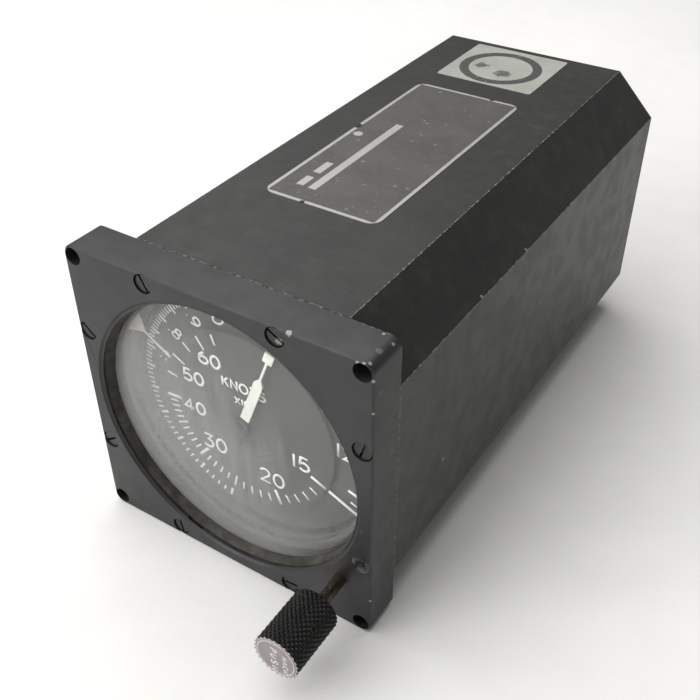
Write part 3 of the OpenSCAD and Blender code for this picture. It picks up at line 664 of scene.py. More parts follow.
@dataclass(frozen=True)
class HazeAndPaintedReflection(Finish):
    """A thin veil on the glass, denser towards the lower left, with a few soft wiping streaks: part
    dust, part painted reflection.
    """

    least: float = 0.005
    most: float = 0.18
    slope: Pair = (-0.6, -0.5)
    bounds: Pair = (-20.0, 20.0)
    # rim, shade_fill_bounds and shade_fill_cover add film in a ring towards the lower left: painted
    # light over the shade that the flange casts into the recess
    rim: Pair = (26.0, 35.0)
    shade_fill_bounds: Pair = (-4.0, 16.0)
    shade_fill_cover: float = 0.08
    streak: float = 30.0
    streak_turn: float = 35.0
    streak_scale: Triple = (0.35, 1.0, 0.07)
    speck_scale: float = 0.3
    speck_cover: float = 0.12

    def build(self) -> Material:
        """Builds the film: pale and dull, with its cover in the alpha: dust, painted reflection and
        a painted fill of shade.

        Returns:
            The material.
        """
        on = self.open()
        x, _, z = on.parts()
        # lean sets the painted reflection of the pale table: it grows towards the lower left and
        # fades to the upper right
        lean = x * self.slope[0] + z * self.slope[1]
        turn = (0, math.radians(self.streak_turn), 0)
        streaks = on.board.add("Mapping", "Vector", {"Vector": on.at, "Rotation": turn,
                                                     "Scale": self.streak_scale})
        wiped = (on.board.noise(streaks, 1.0, 4.0) - 0.5) * self.streak
        cover = on.board.blend((lean + wiped).step(*self.bounds), self.least, self.most)
        # painted light: more film in the ring at the lower left, filling the recess's shade
        rim = x.reach(z).step(*self.rim) * lean.step(*self.shade_fill_bounds)
        dust = on.board.call(FX.dust, Vector=on.at, Scale=self.speck_scale, Amount=self.most)
        return on.shade({"Alpha": cover + rim * self.shade_fill_cover + dust * self.speck_cover})


@dataclass
class Surface:
    """Points in millimetres and the faces that join them, each array of one corner count."""

    points: np.ndarray
    faces: list[np.ndarray]

    @staticmethod
    def joined(parts: list["Surface"]) -> "Surface":
        """Puts several surfaces into one, with the face numbers moved on.

        Args:
            parts: the surfaces.
        Returns:
            One surface that holds them all.
        """
        starts = np.cumsum([0] + [len(p.points) for p in parts[:-1]])
        faces = [f + s for p, s in zip(parts, starts) for f in p.faces]
        return Surface(np.vstack([p.points for p in parts]), faces)

    def to_mesh(self, name: str) -> Mesh:
        """Writes the surface into a Blender mesh, in metres.

        Args:
            name: the mesh's name.
        Returns:
            The new mesh.
        """
        mesh = bpy.data.meshes.new(name)
        totals = np.concatenate([np.full(len(f), f.shape[1]) for f in self.faces])
        corners = np.concatenate([f.ravel() for f in self.faces])
        mesh.vertices.add(len(self.points))
        mesh.vertices.foreach_set("co", (self.points * MM).astype(np.float32).ravel())
        mesh.loops.add(len(corners))
        mesh.loops.foreach_set("vertex_index", corners.astype(np.int32))
        mesh.polygons.add(len(totals))
        mesh.polygons.foreach_set("loop_start", (np.cumsum(totals) - totals).astype(np.int32))
        mesh.polygons.foreach_set("loop_total", totals.astype(np.int32))
        mesh.update(calc_edges=True)
        mesh.validate()
        return mesh


def grid_faces(rows: int, cols: int, wrap_rows: bool, wrap_cols: bool) -> np.ndarray:
    """Quads of a grid of points numbered row by row, closed on itself where it wraps.

    Args:
        rows: points along the first parameter.
        cols: points along the second parameter.
        wrap_rows: whether the last row joins the first.
        wrap_cols: whether the last column joins the first.
    Returns:
        An array of four point numbers per quad.
    """
    i, j = np.meshgrid(np.arange(rows if wrap_rows else rows - 1),
                       np.arange(cols if wrap_cols else cols - 1), indexing="ij")
    i, j = i.ravel(), j.ravel()
    k, m = (i + 1) % rows, (j + 1) % cols
    return np.stack([i * cols + j, k * cols + j, k * cols + m, i * cols + m], 1)


def slabs(corners: np.ndarray, y: Pair) -> Surface:
    """Flat convex plates that face the viewer: each outline, in anticlockwise order, stands at
    the front plane and again at the back plane, and quads join the two.

    Args:
        corners: outlines as an array of plates, corners and (x, z).
        y: the front plane and the back plane.
    Returns:
        The closed plates as one surface.
    """
    count, k = corners.shape[:2]
    points = np.empty((count, 2 * k, 3))
    points[:, :, ::2] = np.tile(corners, (1, 2, 1))
    points[:, :k, 1], points[:, k:, 1] = y
    base = (np.arange(count) * 2 * k)[:, None]
    j = np.arange(k)
    n = (j + 1) % k
    side = np.stack([j + k, n + k, n, j], 1)
    return Surface(points.reshape(-1, 3), [base + j, base + k + j[::-1],
                                           (base[:, :, None] + side).reshape(-1, 4)])


def ribbon(path: np.ndarray, width: float, y: Pair, closed: bool) -> Surface:
    """A flat stroke: a rectangle carried along a path in the dial plane, set off to both sides by
    half its width along the mean of the neighbouring segments' normals, longer at corners.

    Args:
        path: the middle line as (x, z) points.
        width: the stroke's width.
        y: the front plane and the back plane.
        closed: whether the path runs back into its start.
    Returns:
        The closed stroke.
    """
    sharpest, longest = 0.35, 1.6
    step = np.diff(np.vstack([path, path[:1]]) if closed else path, axis=0)
    step /= np.linalg.norm(step, axis=1)[:, None]
    normal = np.stack([-step[:, 1], step[:, 0]], 1)
    if closed:
        before, after = np.roll(normal, 1, 0), normal
    else:
        before, after = np.vstack([normal[:1], normal]), np.vstack([normal, normal[-1:]])
    mean = before + after
    mean /= np.linalg.norm(mean, axis=1)[:, None]
    reach = np.minimum(1 / np.maximum((mean * after).sum(1), sharpest), longest)[:, None]
    shift = mean * reach * width / 2
    points = np.empty((len(path), 4, 3))
    points[:, :, ::2] = np.stack([path - shift, path + shift, path + shift, path - shift], 1)
    points[:, :2, 1], points[:, 2:, 1] = y
    faces = [grid_faces(len(path), 4, closed, True)]
    if not closed:
        end = 4 * (len(path) - 1)
        faces.append(np.array([[0, 1, 2, 3], [end + 3, end + 2, end + 1, end]]))
    return Surface(points.reshape(-1, 3), faces)


def turned(profile: np.ndarray, around: int, centre: Pair,
           ripple: np.ndarray | float = 0.0) -> Surface:
    """A body turned about an axis that runs front to back: each profile point (radius, y) goes
    round a full circle, and a ripple may be taken off its radius at every angle.

    Args:
        profile: points (radius, y) in order along the outside.
        around: points in a circle.
        centre: the axis as (x, z).
        ripple: what is taken off the radius, per profile point and angle.
    Returns:
        The turned surface, open or closed as its profile is; zero radii close it at the axis.
    """
    angle = np.linspace(0, FULL_TURN, around, endpoint=False)
    radius = np.repeat(profile[:, :1], around, 1) - ripple
    points = np.stack([centre[0] + radius * np.cos(angle), np.repeat(profile[:, 1:], around, 1),
                       centre[1] + radius * np.sin(angle)], 2)
    return Surface(points.reshape(-1, 3), [grid_faces(len(profile), around, False, True)])


def polar(radius: float, clockwise: np.ndarray | float) -> np.ndarray:
    """Points at a radius and an angle that runs clockwise from the top of the dial."""
    a = np.radians(clockwise)
    return np.stack([radius * np.sin(a), radius * np.cos(a)], -1)


def spin(degrees: float) -> np.ndarray:
    """The matrix that turns rows of (x, z) anticlockwise."""
    a = math.radians(degrees)
    return np.array([[math.cos(a), math.sin(a)], [-math.sin(a), math.cos(a)]])


def ticks(angles: np.ndarray, inner: np.ndarray | float, outer: np.ndarray | float,
          width: np.ndarray | float, y: Pair) -> Surface:
    """Dial strokes: for each angle a thin rectangle from an inner to an outer radius.

    Args:
        angles: clockwise from the top, in degrees.
        inner: inner radius of each.
        outer: outer radius of each.
        width: width of each.
        y: the front plane and the back plane.
    Returns:
        The strokes as one surface.
    """
    angles, inner, outer, width = np.broadcast_arrays(angles, inner, outer, width)
    along = polar(1.0, angles)
    side = np.stack([-along[:, 1], along[:, 0]], 1) * width[:, None] / 2
    near, far = along * inner[:, None], along * outer[:, None]
    return slabs(np.stack([near - side, far - side, far + side, near + side], 1), y)


def linked(name: str, data: ID) -> Object:
    """Makes an object of a mesh, lamp or camera and puts it in the scene.

    Args:
        name: the object's name.
        data: what it shows.
    Returns:
        The new object.
    """
    made = bpy.data.objects.new(name, data)
    bpy.context.scene.collection.objects.link(made)
    return made


def round_off(mesh: Mesh, degrees: float) -> None:
    """Shades a mesh round, with edges kept sharp from an angle on."""
    mesh.shade_smooth()
    mesh.set_sharp_from_angle(angle=math.radians(degrees))


def piece(name: str, surface: Surface, body: Body, finish: Finish,
          shading: Shading = Shading.FLAT) -> Object:
    """Makes a named object of a surface, dresses it and lets it ride on a body.

    Args:
        name: the piece's name.
        surface: its shape.
        body: the body that it moves with.
        finish: what it wears.
        shading: faceted or round.
    Returns:
        The new object.
    """
    sharp_angle = 38.0
    mesh = finish.dress(surface.to_mesh(name))
    if shading is Shading.ROUND:
        round_off(mesh, sharp_angle)
    made = linked(name, mesh)
    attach(made, body.value)
    LOG.info("piece %s: %d points, rides on %s", name, len(mesh.vertices), body.value)
    return made


def weld(made: Object, outward: bool) -> None:
    """Merges doubled points of a piece and drops empty faces.

    Args:
        made: the piece.
        outward: whether its faces are turned outwards again.
    """
    work = bmesh.new()
    work.from_mesh(made.data)
    bmesh.ops.remove_doubles(work, verts=work.verts, dist=1e-7)
    bmesh.ops.dissolve_degenerate(work, edges=work.edges, dist=1e-8)
    if outward:
        bmesh.ops.recalc_face_normals(work, faces=work.faces)
    work.to_mesh(made.data)
    work.free()
    made.data.update()


@dataclass
class Stroke:
    """A pen stroke of a letter of unit height; a closed one runs back into its start."""

    path: np.ndarray
    closed: bool = False

    def __add__(self, other: "Stroke") -> "Stroke":
        """Goes on into another stroke without lifting the pen."""
        return Stroke(np.vstack([self.path, other.path]))


def arc(x: float, z: float, rx: float, rz: float, start: float, end: float, count: int) -> Stroke:
    """Points of an ellipse's arc: centre plus the two radii times cosine and sine.

    Args:
        x: centre across.
        z: centre up.
        rx: radius across.
        rz: radius up.
        start: first angle in degrees.
        end: last angle in degrees; a full turn is closed and leaves its last point out.
        count: how many points.
    Returns:
        The stroke.
    """
    whole = abs(end - start) >= 360
    a = np.radians(np.linspace(start, end, count, endpoint=not whole))
    return Stroke(np.stack([x + rx * np.cos(a), z + rz * np.sin(a)], 1), whole)


def line(*points: Pair) -> Stroke:
    """A straight or broken line."""
    return Stroke(np.array(points, float))


class Alphabet:
    """Plain stroke letters and figures of unit height, with round bowls and square ends."""

    def __init__(self) -> None:
        """Works out the width and the strokes of every letter and figure."""
        stem = line((0.06, 1.0), (0.06, 0.0))
        self.glyphs: dict[str, tuple[float, list[Stroke]]] = {
            "0": (0.62, [arc(0.31, 0.5, 0.31, 0.5, 90, 450, 28)]),
            "1": (0.12, [stem]),
            "2": (0.6, [arc(0.29, 0.71, 0.28, 0.29, 165, -38, 16) + line((0.0, 0.0), (0.6, 0.0))]),
            "3": (0.58, [line((0.04, 1.0), (0.54, 1.0), (0.26, 0.62))
                         + arc(0.26, 0.31, 0.31, 0.31, 80, -150, 18)]),
            "4": (0.66, [line((0.66, 0.25), (0.0, 0.25), (0.46, 1.0), (0.46, 0.0))]),
            "5": (0.6, [line((0.54, 1.0), (0.12, 1.0), (0.06, 0.56))
                        + arc(0.3, 0.3, 0.3, 0.3, 150, -148, 22)]),
            "6": (0.62, [arc(0.31, 0.3, 0.31, 0.3, 0, 360, 24),
                         arc(0.62, 0.36, 0.62, 0.62, 183, 112, 10)]),
            "7": (0.56, [line((0.0, 1.0), (0.56, 1.0), (0.16, 0.0))]),
            "8": (0.6, [arc(0.3, 0.275, 0.3, 0.275, 90, 450, 24),
                        arc(0.3, 0.77, 0.24, 0.23, -90, 270, 20)]),
            "9": (0.62, [arc(0.31, 0.7, 0.31, 0.3, 0, 360, 24),
                         arc(0.0, 0.64, 0.62, 0.62, 3, -68, 10)]),
            ".": (0.12, [line((0.06, 0.12), (0.06, 0.0))]),
            "K": (0.6, [stem, line((0.56, 1.0), (0.1, 0.42)), line((0.24, 0.6), (0.6, 0.0))]),
            "N": (0.66, [line((0.06, 0.0), (0.06, 1.0), (0.6, 0.0), (0.6, 1.0))]),
            "O": (0.74, [arc(0.37, 0.5, 0.37, 0.5, 90, 450, 28)]),
            "T": (0.6, [line((0.0, 1.0), (0.6, 1.0)), line((0.3, 1.0), (0.3, 0.0))]),
            "S": (0.56, [arc(0.28, 0.75, 0.27, 0.25, 25, 255, 14)
                         + arc(0.28, 0.25, 0.28, 0.25, 75, -155, 14)]),
            "X": (0.6, [line((0.0, 1.0), (0.6, 0.0)), line((0.6, 1.0), (0.0, 0.0))]),
            "P": (0.54, [line((0.06, 0.0), (0.06, 1.0), (0.28, 1.0))
                         + arc(0.28, 0.74, 0.26, 0.26, 80, -80, 10)
                         + line((0.28, 0.48), (0.06, 0.48))]),
            "U": (0.62, [line((0.06, 1.0), (0.06, 0.32))
                         + arc(0.31, 0.28, 0.25, 0.28, 188, 352, 12)
                         + line((0.56, 0.32), (0.56, 1.0))]),
            "H": (0.62, [stem, line((0.56, 1.0), (0.56, 0.0)), line((0.06, 0.52), (0.56, 0.52))]),
            "M": (0.78, [line((0.06, 0.0), (0.06, 1.0), (0.39, 0.25), (0.72, 1.0), (0.72, 0.0))]),
            "A": (0.66, [line((0.0, 0.0), (0.33, 1.0), (0.66, 0.0)),
                         line((0.12, 0.34), (0.54, 0.34))]),
            "C": (0.62, [arc(0.36, 0.5, 0.36, 0.5, 48, 312, 22)]),
        }

    def word(self, text: str, height: float, weight: float, middle: Pair, y: Pair,
             turn: float = 0.0, gap: float = 0.24) -> Surface:
        """Sets a word about its middle, turned in the dial plane.

        Args:
            text: what it says.
            height: letter height.
            weight: stroke width.
            middle: where its middle lies, as (x, z).
            y: the front plane and the back plane.
            turn: its turn in degrees, anticlockwise.
            gap: space between letters, as a share of the height.
        Returns:
            The word's strokes as one surface.
        """
        starts = np.cumsum([0.0] + [self.glyphs[c][0] + gap for c in text])
        centre = np.array([(starts[-1] - gap) / 2, 0.5])
        size = np.array([1.0, 1 - weight / height]) * height
        return Surface.joined([
            ribbon((stroke.path + [start, 0.0] - centre) * size @ spin(turn) + middle, weight, y,
                   stroke.closed)
            for char, start in zip(text, starts) for stroke in self.glyphs[char][1]])

    def width(self, text: str, height: float, gap: float = 0.24) -> float:
        """Length of a word of a given letter height."""
        return height * (sum(self.glyphs[c][0] for c in text) + gap * (len(text) - 1))


LETTERS = Alphabet()


@dataclass
class DialPrint:
    """The two printed scales and the words on the fixed dial, in millimetres and degrees.

    A scale's law is a known angle, the angle per unit of the logarithm, and the value there.
    """

    paint: Finish
    deep: Finish
    dial_y: float = 0.6
    mach_y: float = 3.0
    mask_y: float = 1.7
    speed_law: Triple = (114.0, 154.0, 15.0)
    speed_inner: Triple = (20.3, 21.3, 21.8)
    speed_outer: Pair = (24.9, 24.3)
    speed_width: Triple = (0.85, 0.55, 0.5)
    weight: float = 0.68
    figures: tuple[tuple[str, float, float, float], ...] = (
        ("15", 16.7, 109, 4.8), ("20", 16.7, 156, 4.8), ("30", 16.3, 221, 4.8),
        ("40", 16.3, 261, 4.2), ("50", 17.0, 295, 4.2), ("60", 17.7, 327, 4.2))
    words: tuple[tuple[str, float, float, Pair, float], ...] = (
        ("KNOTS", 3.2, 0.55, (0.0, 10.3), 0.2), ("X10", 2.4, 0.45, (-0.6, 5.8), 0.24))
    low_height: float = 4.8
    low_figures: tuple[tuple[str, Pair], ...] = (("12", (27.65, 3.0)), ("10", (23.4, 14.4)))
    low_outer: float = 33.2
    low_marks: tuple[Triple, ...] = ((51.6, 29.6, 0.8), (66.2, 31.4, 0.5), (79.6, 29.6, 0.8),
                                     (92.0, 31.4, 0.5), (106.8, 29.6, 0.8), (112.6, 31.4, 0.5))
    mach_law: Triple = (307.3, 160.0, 0.8)
    mach_inner: Pair = (30.6, 31.5)
    mach_outer: float = 33.3
    mach_width: Pair = (0.75, 0.45)
    mach_figures: float = 25.7
    mach_height: float = 3.6
    mach_weight: float = 0.55

    @staticmethod
    def angle(law: Triple, value: np.ndarray | float) -> np.ndarray:
        """Angle of a value on a scale that grows with its logarithm."""
        return law[0] + law[1] * np.log(np.asarray(value) / law[2])

    def build_speed(self) -> Object:
        """Prints the airspeed scale in tens of knots, its figures and the unit, and on the mask
        what lies outside the small dial.

        Returns:
            The printed piece.
        """
        y, low_y = (self.dial_y - FILM, self.dial_y), (self.mask_y - FILM, self.mask_y)
        tens = np.concatenate([np.arange(15, 41), np.arange(45, 66, 5)])
        sparse = tens > 40
        bold, middle = np.isin(tens, [15, 20, 30, 40, 50, 60]), np.isin(tens, [25, 35])
        inner = np.select([bold, middle | sparse], self.speed_inner[:2], self.speed_inner[2])
        outer = np.where((bold | middle) & ~sparse, *self.speed_outer)
        width = np.select([bold & ~sparse, sparse], self.speed_width[:2], self.speed_width[2])
        marks = np.array(self.low_marks)
        shape = Surface.joined(
            [ticks(self.angle(self.speed_law, tens), inner, outer, width, y)]
            + [LETTERS.word(text, height, self.weight, tuple(polar(radius, angle)), y)
               for text, radius, angle, height in self.figures]
            + [LETTERS.word(text, height, weight, at, y, gap=gap)
               for text, height, weight, at, gap in self.words]
            + [LETTERS.word(text, self.low_height, self.weight, at, low_y)
               for text, at in self.low_figures]
            + [ticks(marks[:, 0], marks[:, 1], self.low_outer, marks[:, 2], low_y)])
        return piece("airspeed_scale_print", shape, Body.FIXED, self.paint)

    def build_mach(self) -> Object:
        """Prints the Mach scale on the turning disc; its figures read inwards along the radius.

        Returns:
            The printed piece.
        """
        y = (self.mach_y - FILM, self.mach_y)
        hundredths = np.arange(40, 141)
        fifth = hundredths % 5 == 0
        angles = self.angle(self.mach_law, hundredths / 100)
        parts = [ticks(angles, np.where(fifth, *self.mach_inner), self.mach_outer,
                       np.where(fifth, *self.mach_width), y)]
        for tenth in range(7, 14):
            text = f"{tenth / 10:.1f}".lstrip("0")
            angle = float(self.angle(self.mach_law, tenth / 10))
            radius = self.mach_figures + LETTERS.width(text, self.mach_height) / 2
            parts.append(LETTERS.word(text, self.mach_height, self.mach_weight,
                                      tuple(polar(radius, angle)), y, 270 - angle))
        shape = Surface.joined(parts)
        return piece("mach_scale_print", shape, Body.MACH, self.deep)


@dataclass
class IndexPaint:
    """The painted faces of the two set marks: a faded triangle with its line, and a white line."""

    triangle: Finish
    white: Finish
    mach_angle: float = 303.4
    mach_y: float = -1.9
    point: Pair = (32.4, 0.24)
    base: Pair = (36.5, 4.6)
    speed_angle: float = 115.0
    speed_y: float = 0.9
    speed_line: Triple = (25.75, 36.4, 0.58)

    def build_mach(self) -> Object:
        """Lays the triangle on the ring, with its point at the start of the arm.

        Returns:
            The painted piece.
        """
        (tip, thin), (rim, wide) = self.point, self.base
        head = np.array([[tip, thin], [tip, -thin], [rim, -wide], [rim, wide]])
        shape = slabs((head @ spin(90 - self.mach_angle))[None], (self.mach_y - FILM, self.mach_y))
        return piece("mach_index_paint", shape, Body.MACH_INDEX, self.triangle)

    def build_speed(self) -> Object:
        """Lays the white line along the other ring's arm.

        Returns:
            The painted piece.
        """
        y = (self.speed_y - FILM, self.speed_y)
        shape = ticks(np.array([self.speed_angle]), *self.speed_line, y)
        return piece("airspeed_index_paint", shape, Body.SPEED_INDEX, self.white)


@dataclass
class Knob:
    """The knurled knob, its end cap and the print on it.

    A word of the print is its text, height, weight, place from the axis and gap.
    """

    paint: Finish
    cap: Finish
    letters: Finish
    front: float = -36.1
    back: float = -20.4
    radius: float = 6.05
    flat: float = 5.43
    diamonds: int = 26
    facets: int = 12
    rows: int = 97
    stretch: float = 1.05
    depth: float = 0.6
    steepness: float = 1.12
    fade: float = 0.35
    fade_keep: float = 0.55
    fade_depth: float = 0.25
    bore: float = 1.62
    bore_front: float = -33.6
    screw_y: float = -27.4
    screw_angle: float = 38.0
    screw_rim: Pair = (1.25, 0.52)
    screw_dimple: Pair = (0.98, 1.15)
    cap_radius: float = 5.32
    cap_gap: float = 0.02
    cap_break: float = 0.1
    cap_front: float = -36.2
    cap_floor: float = -35.4
    words: tuple[tuple[str, float, float, Pair, float], ...] = (
        ("PUSH", 2.0, 0.36, (-0.4, -0.75), 0.5), ("MACH", 1.5, 0.3, (2.55, -0.75), 0.36))
    word_turn: float = -89.0
    ring: Pair = (4.95, 0.2)
    ring_points: int = 72

    def build_grip(self) -> Object:
        """Turns the knob. Two families of helical grooves cross on it: each lowers the radius by a
        triangle wave of the angle plus or minus the length, and the deeper of the two holds, so
        that four-sided points stand between them. A round dimple is sunk at the set screw.

        Returns:
            The knob's piece.
        """
        around = self.diamonds * self.facets
        y = np.linspace(self.front, self.back, self.rows)
        angle = np.linspace(0, FULL_TURN, around, endpoint=False)
        pitch = FULL_TURN * self.radius / self.diamonds * self.stretch
        turn = angle[None, :] * self.diamonds / FULL_TURN
        lead = ((y - self.front) / pitch)[:, None]
        first, second = (1 - 2 * np.abs((turn + way * lead) % 1 - 0.5) for way in (1, -1))
        groove = self.depth * np.clip(self.steepness * (1 - np.minimum(first, second)), 0.0, 1.0)
        ends = np.clip((self.back - y) / self.fade, 0, 1)[:, None]
        groove = groove * (self.fade_keep + (1 - self.fade_keep) * ends)
        groove = groove + self.fade_depth * (1 - ends)
        away = (angle - math.radians(self.screw_angle) + np.pi) % FULL_TURN - np.pi
        apart = np.hypot(away[None, :] * self.radius, (y - self.screw_y)[:, None])
        groove = np.where(apart < self.screw_rim[0], np.maximum(groove, self.screw_rim[1]), groove)
        groove = np.where(apart < self.screw_dimple[0], self.screw_dimple[1], groove)
        skin = np.stack([np.full(self.rows, self.radius), y], 1)
        head = np.array([[0.0, self.cap_floor], [self.cap_radius, self.cap_floor],
                         [self.cap_radius, self.front], [self.flat, self.front]])
        tail = np.array([[self.flat, self.back], [self.bore, self.back],
                         [self.bore, self.bore_front], [0.0, self.bore_front]])
        ripple = np.pad(groove, ((len(head), len(tail)), (0, 0)))
        shape = turned(np.vstack([head, skin, tail]), around, KNOB_AXIS, ripple)
        shape.faces = [f[:, ::-1] for f in shape.faces]
        made = piece("knob_grip", shape, Body.KNOB, self.paint)
        weld(made, outward=True)
        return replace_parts(made, "knob")

    def build_cap(self) -> Object:
        """Turns the cap, a disc with a broken front edge, a film's depth below the print on it.

        Returns:
            The cap's piece.
        """
        face, rim = self.cap_front + FILM, self.cap_radius - self.cap_gap
        profile = np.array([[0.0, face], [rim - self.cap_break, face], [rim, face + self.cap_break],
                            [rim, self.cap_floor], [0.0, self.cap_floor]])
        shape = turned(profile, self.ring_points, KNOB_AXIS)
        made = piece("knob_cap_disc", shape, Body.KNOB, self.cap, Shading.ROUND)
        weld(made, outward=True)
        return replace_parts(made, "knob_cap")

    def build_letters(self) -> Object:
        """Prints the two generic words and the edge line on the end cap.

        Returns:
            The printed piece.
        """
        y = (self.cap_front, self.cap_front + FILM)
        middle = np.array(KNOB_AXIS)
        parts = [LETTERS.word(text, height, weight, tuple(middle + at), y, self.word_turn, gap)
                 for text, height, weight, at, gap in self.words]
        angles = -np.arange(self.ring_points) * 360.0 / self.ring_points
        parts.append(ribbon(middle + polar(self.ring[0], angles), self.ring[1], y, True))
        shape = Surface.joined(parts)
        return piece("knob_cap_print", shape, Body.KNOB, self.letters)


@dataclass
class Housing:
    """The painted bezel flange and the case behind it, with their edges broken by a small bevel."""

    break_width: float = 0.3
    flat_angle: float = 0.6
    sharp_angle: float = 30.0
    bevel_angle: float = 35.0

    def soften(self, node: str, name: str, paint: Finish) -> Object:
        """Copies a fixed node's mesh, merges it, joins its flat triangles and bevels its edges.

        Args:
            node: the node that the copy stands for.
            name: the copy's name.
            paint: its finish.
        Returns:
            The copy as a piece.
        """
        mesh = paint.dress(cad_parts[node].data.copy())
        mesh.name = name
        work = bmesh.new()
        work.from_mesh(mesh)
        bmesh.ops.remove_doubles(work, verts=work.verts, dist=1e-6)
        bmesh.ops.dissolve_limit(work, angle_limit=math.radians(self.flat_angle), verts=work.verts,
                                 edges=work.edges)
        work.to_mesh(mesh)
        work.free()
        round_off(mesh, self.sharp_angle)
        made = linked(name, mesh)
        bevel = made.modifiers.new("broken_edges", "BEVEL")
        bevel.width, bevel.segments = self.break_width * MM, 2
        bevel.limit_method, bevel.angle_limit = "ANGLE", math.radians(self.bevel_angle)
        bevel.use_clamp_overlap = True
        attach(made, Body.FIXED.value)
        LOG.info("piece %s: %d points, stands for %s", name, len(mesh.vertices), node)
        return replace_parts(made, node)


@dataclass
class Elastic:
    """Springs and posts copied from their nodes, with the two ends of each worked out along an
    axis.
    """

    finish: Finish
    slot: str = "steel_part"

    def stretch(self, node: str, moving: Body, axis: int, rising: bool) -> Object:
        """Copies a node's mesh, welds it and bakes its transform; both ends are worked out, but
        nothing moves them.

        Args:
            node: the node that the copy stands for.
            moving: the body named in the log message; no end follows it.
            axis: the axis along which the two ends are worked out, 0 to 2.
            rising: whether the moving end is the one further along the axis.
        Returns:
            The copy as a piece.
        """
        low, high = (np.array(corner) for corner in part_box(node))
        still, led = (low + high) / 2, (low + high) / 2
        still[axis], led[axis] = (low[axis], high[axis]) if rising else (high[axis], low[axis])
        mesh = self.finish.dress(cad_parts[node].data.copy())
        mesh.name = node + "_elastic"
        made = linked(node + "_elastic", mesh)
        weld(made, outward=False)
        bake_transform(made)
        LOG.info("piece %s: %d points, led by %s", made.name, len(mesh.vertices), moving.value)
        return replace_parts(made, node)


@dataclass
class Window:
    """The film of dust and painted reflection on the outside of the cover glass."""

    haze_and_reflection: HazeAndPaintedReflection
    radius: float = 36.5
    planes: Pair = (-6.52, -6.505)
    around: int = 96

    def build_haze_and_painted_reflection(self) -> Object:
        """Lays a thin round film on the glass: a flat disc turned from a four-point profile.

        Returns:
            The film's piece.
        """
        front, back = self.planes
        profile = np.array([[0.0, front], [self.radius, front], [self.radius, back], [0.0, back]])
        shape = turned(profile, self.around, (0.0, 0.0))
        made = piece("glass_haze_and_painted_reflection", shape, Body.FIXED, self.haze_and_reflection)
        weld(made, outward=True)
        return made


@dataclass
class Wardrobe:
    """Which finish each carried-over node wears."""

    finishes: dict[str, Finish]
    nodes: dict[str, str]

    def dress(self) -> None:
        """Gives every listed node its material."""
        for key, names in self.nodes.items():
            for name in names.split():
                self.finishes[key].dress(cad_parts[name].data)
                LOG.info("node %s wears %s", name, key)


@dataclass(frozen=True)
class Lamp:
    """A square soft lamp: place, side and aim in millimetres, power in watts."""

    name: str
    place: Triple
    side: float
    power: float
    aim: Triple

    def hang(self) -> None:
        """Puts the lamp in the scene and turns it to its aim."""
        lamp = bpy.data.lights.new(self.name, "AREA")
        lamp.shape, lamp.size, lamp.energy = "SQUARE", self.side * MM, self.power
        made = linked(self.name, lamp)
        made.location = np.array(self.place) * MM
        made.rotation_mode = "QUATERNION"
        toward = Vector(np.subtract(self.aim, self.place) * MM)
        made.rotation_quaternion = toward.to_track_quat("-Z", "Y")


@dataclass
class Studio:
    """The pale table, the soft light and the camera of the photograph."""

    table: Finish
    lamps: tuple[Lamp, ...] = (
        Lamp("sky_panel", (-360, 160, 1000), 1500, 15.2, (0, 60, 0)),
        Lamp("front_panel", (-450, -800, 560), 800, 8.0, (0, 0, 0)))
    room_light: float = 0.22
    backdrop: float = 1.0
    eye: Triple = (114.20, -131.78, 155.28)
    right: Triple = (0.84090, 0.54119, -0.00265)
    down: Triple = (0.33042, -0.51727, -0.78946)
    forward: Triple = (-0.42862, 0.66298, -0.61380)
    lens: float = 49.65
    sensor: float = 36.0
    clip: Pair = (0.005, 20.0)
    floor_z: float = -41.275
    floor_half: float = 900.0

    def build_floor(self) -> None:
        """Lays the table top: a grid of two lengths at the lowest point of the part."""
        side = np.linspace(-self.floor_half, self.floor_half, 3)
        x, y = np.meshgrid(side, side, indexing="ij")
        points = np.stack([x, y, np.full_like(x, self.floor_z)], 2).reshape(-1, 3)
        mesh = Surface(points, [grid_faces(3, 3, False, False)]).to_mesh("table_top")
        made = linked("table_top", self.table.dress(mesh))

    def build_light(self) -> None:
        """Hangs the lamps and sets the room's light, with a white backdrop for the camera."""
        for lamp in self.lamps:
            lamp.hang()
        world = bpy.data.worlds.new("room")
        world.use_nodes = True
        board = Board(world.node_tree)
        shade = world.node_tree.nodes["Background"].inputs
        board.feed(shade["Color"], (1.0, 1.0, 1.0))
        seen = board.add("LightPath", "Is Camera Ray")
        board.feed(shade["Strength"], board.blend(seen, self.room_light, self.backdrop))
        bpy.context.scene.world = world

    def build_camera(self) -> None:
        """Places the camera by its three axes."""
        lens = bpy.data.cameras.new("camera")
        lens.lens, lens.sensor_width = self.lens, self.sensor
        lens.clip_start, lens.clip_end = self.clip
        axes = np.eye(4)
        axes[:3, :3] = np.stack([self.right, -np.array(self.down), -np.array(self.forward)], 1)
        axes[:3, 3] = np.array(self.eye) * MM
        made = linked("camera", lens)
        made.matrix_world = Matrix(axes.tolist())
        bpy.context.scene.camera = made


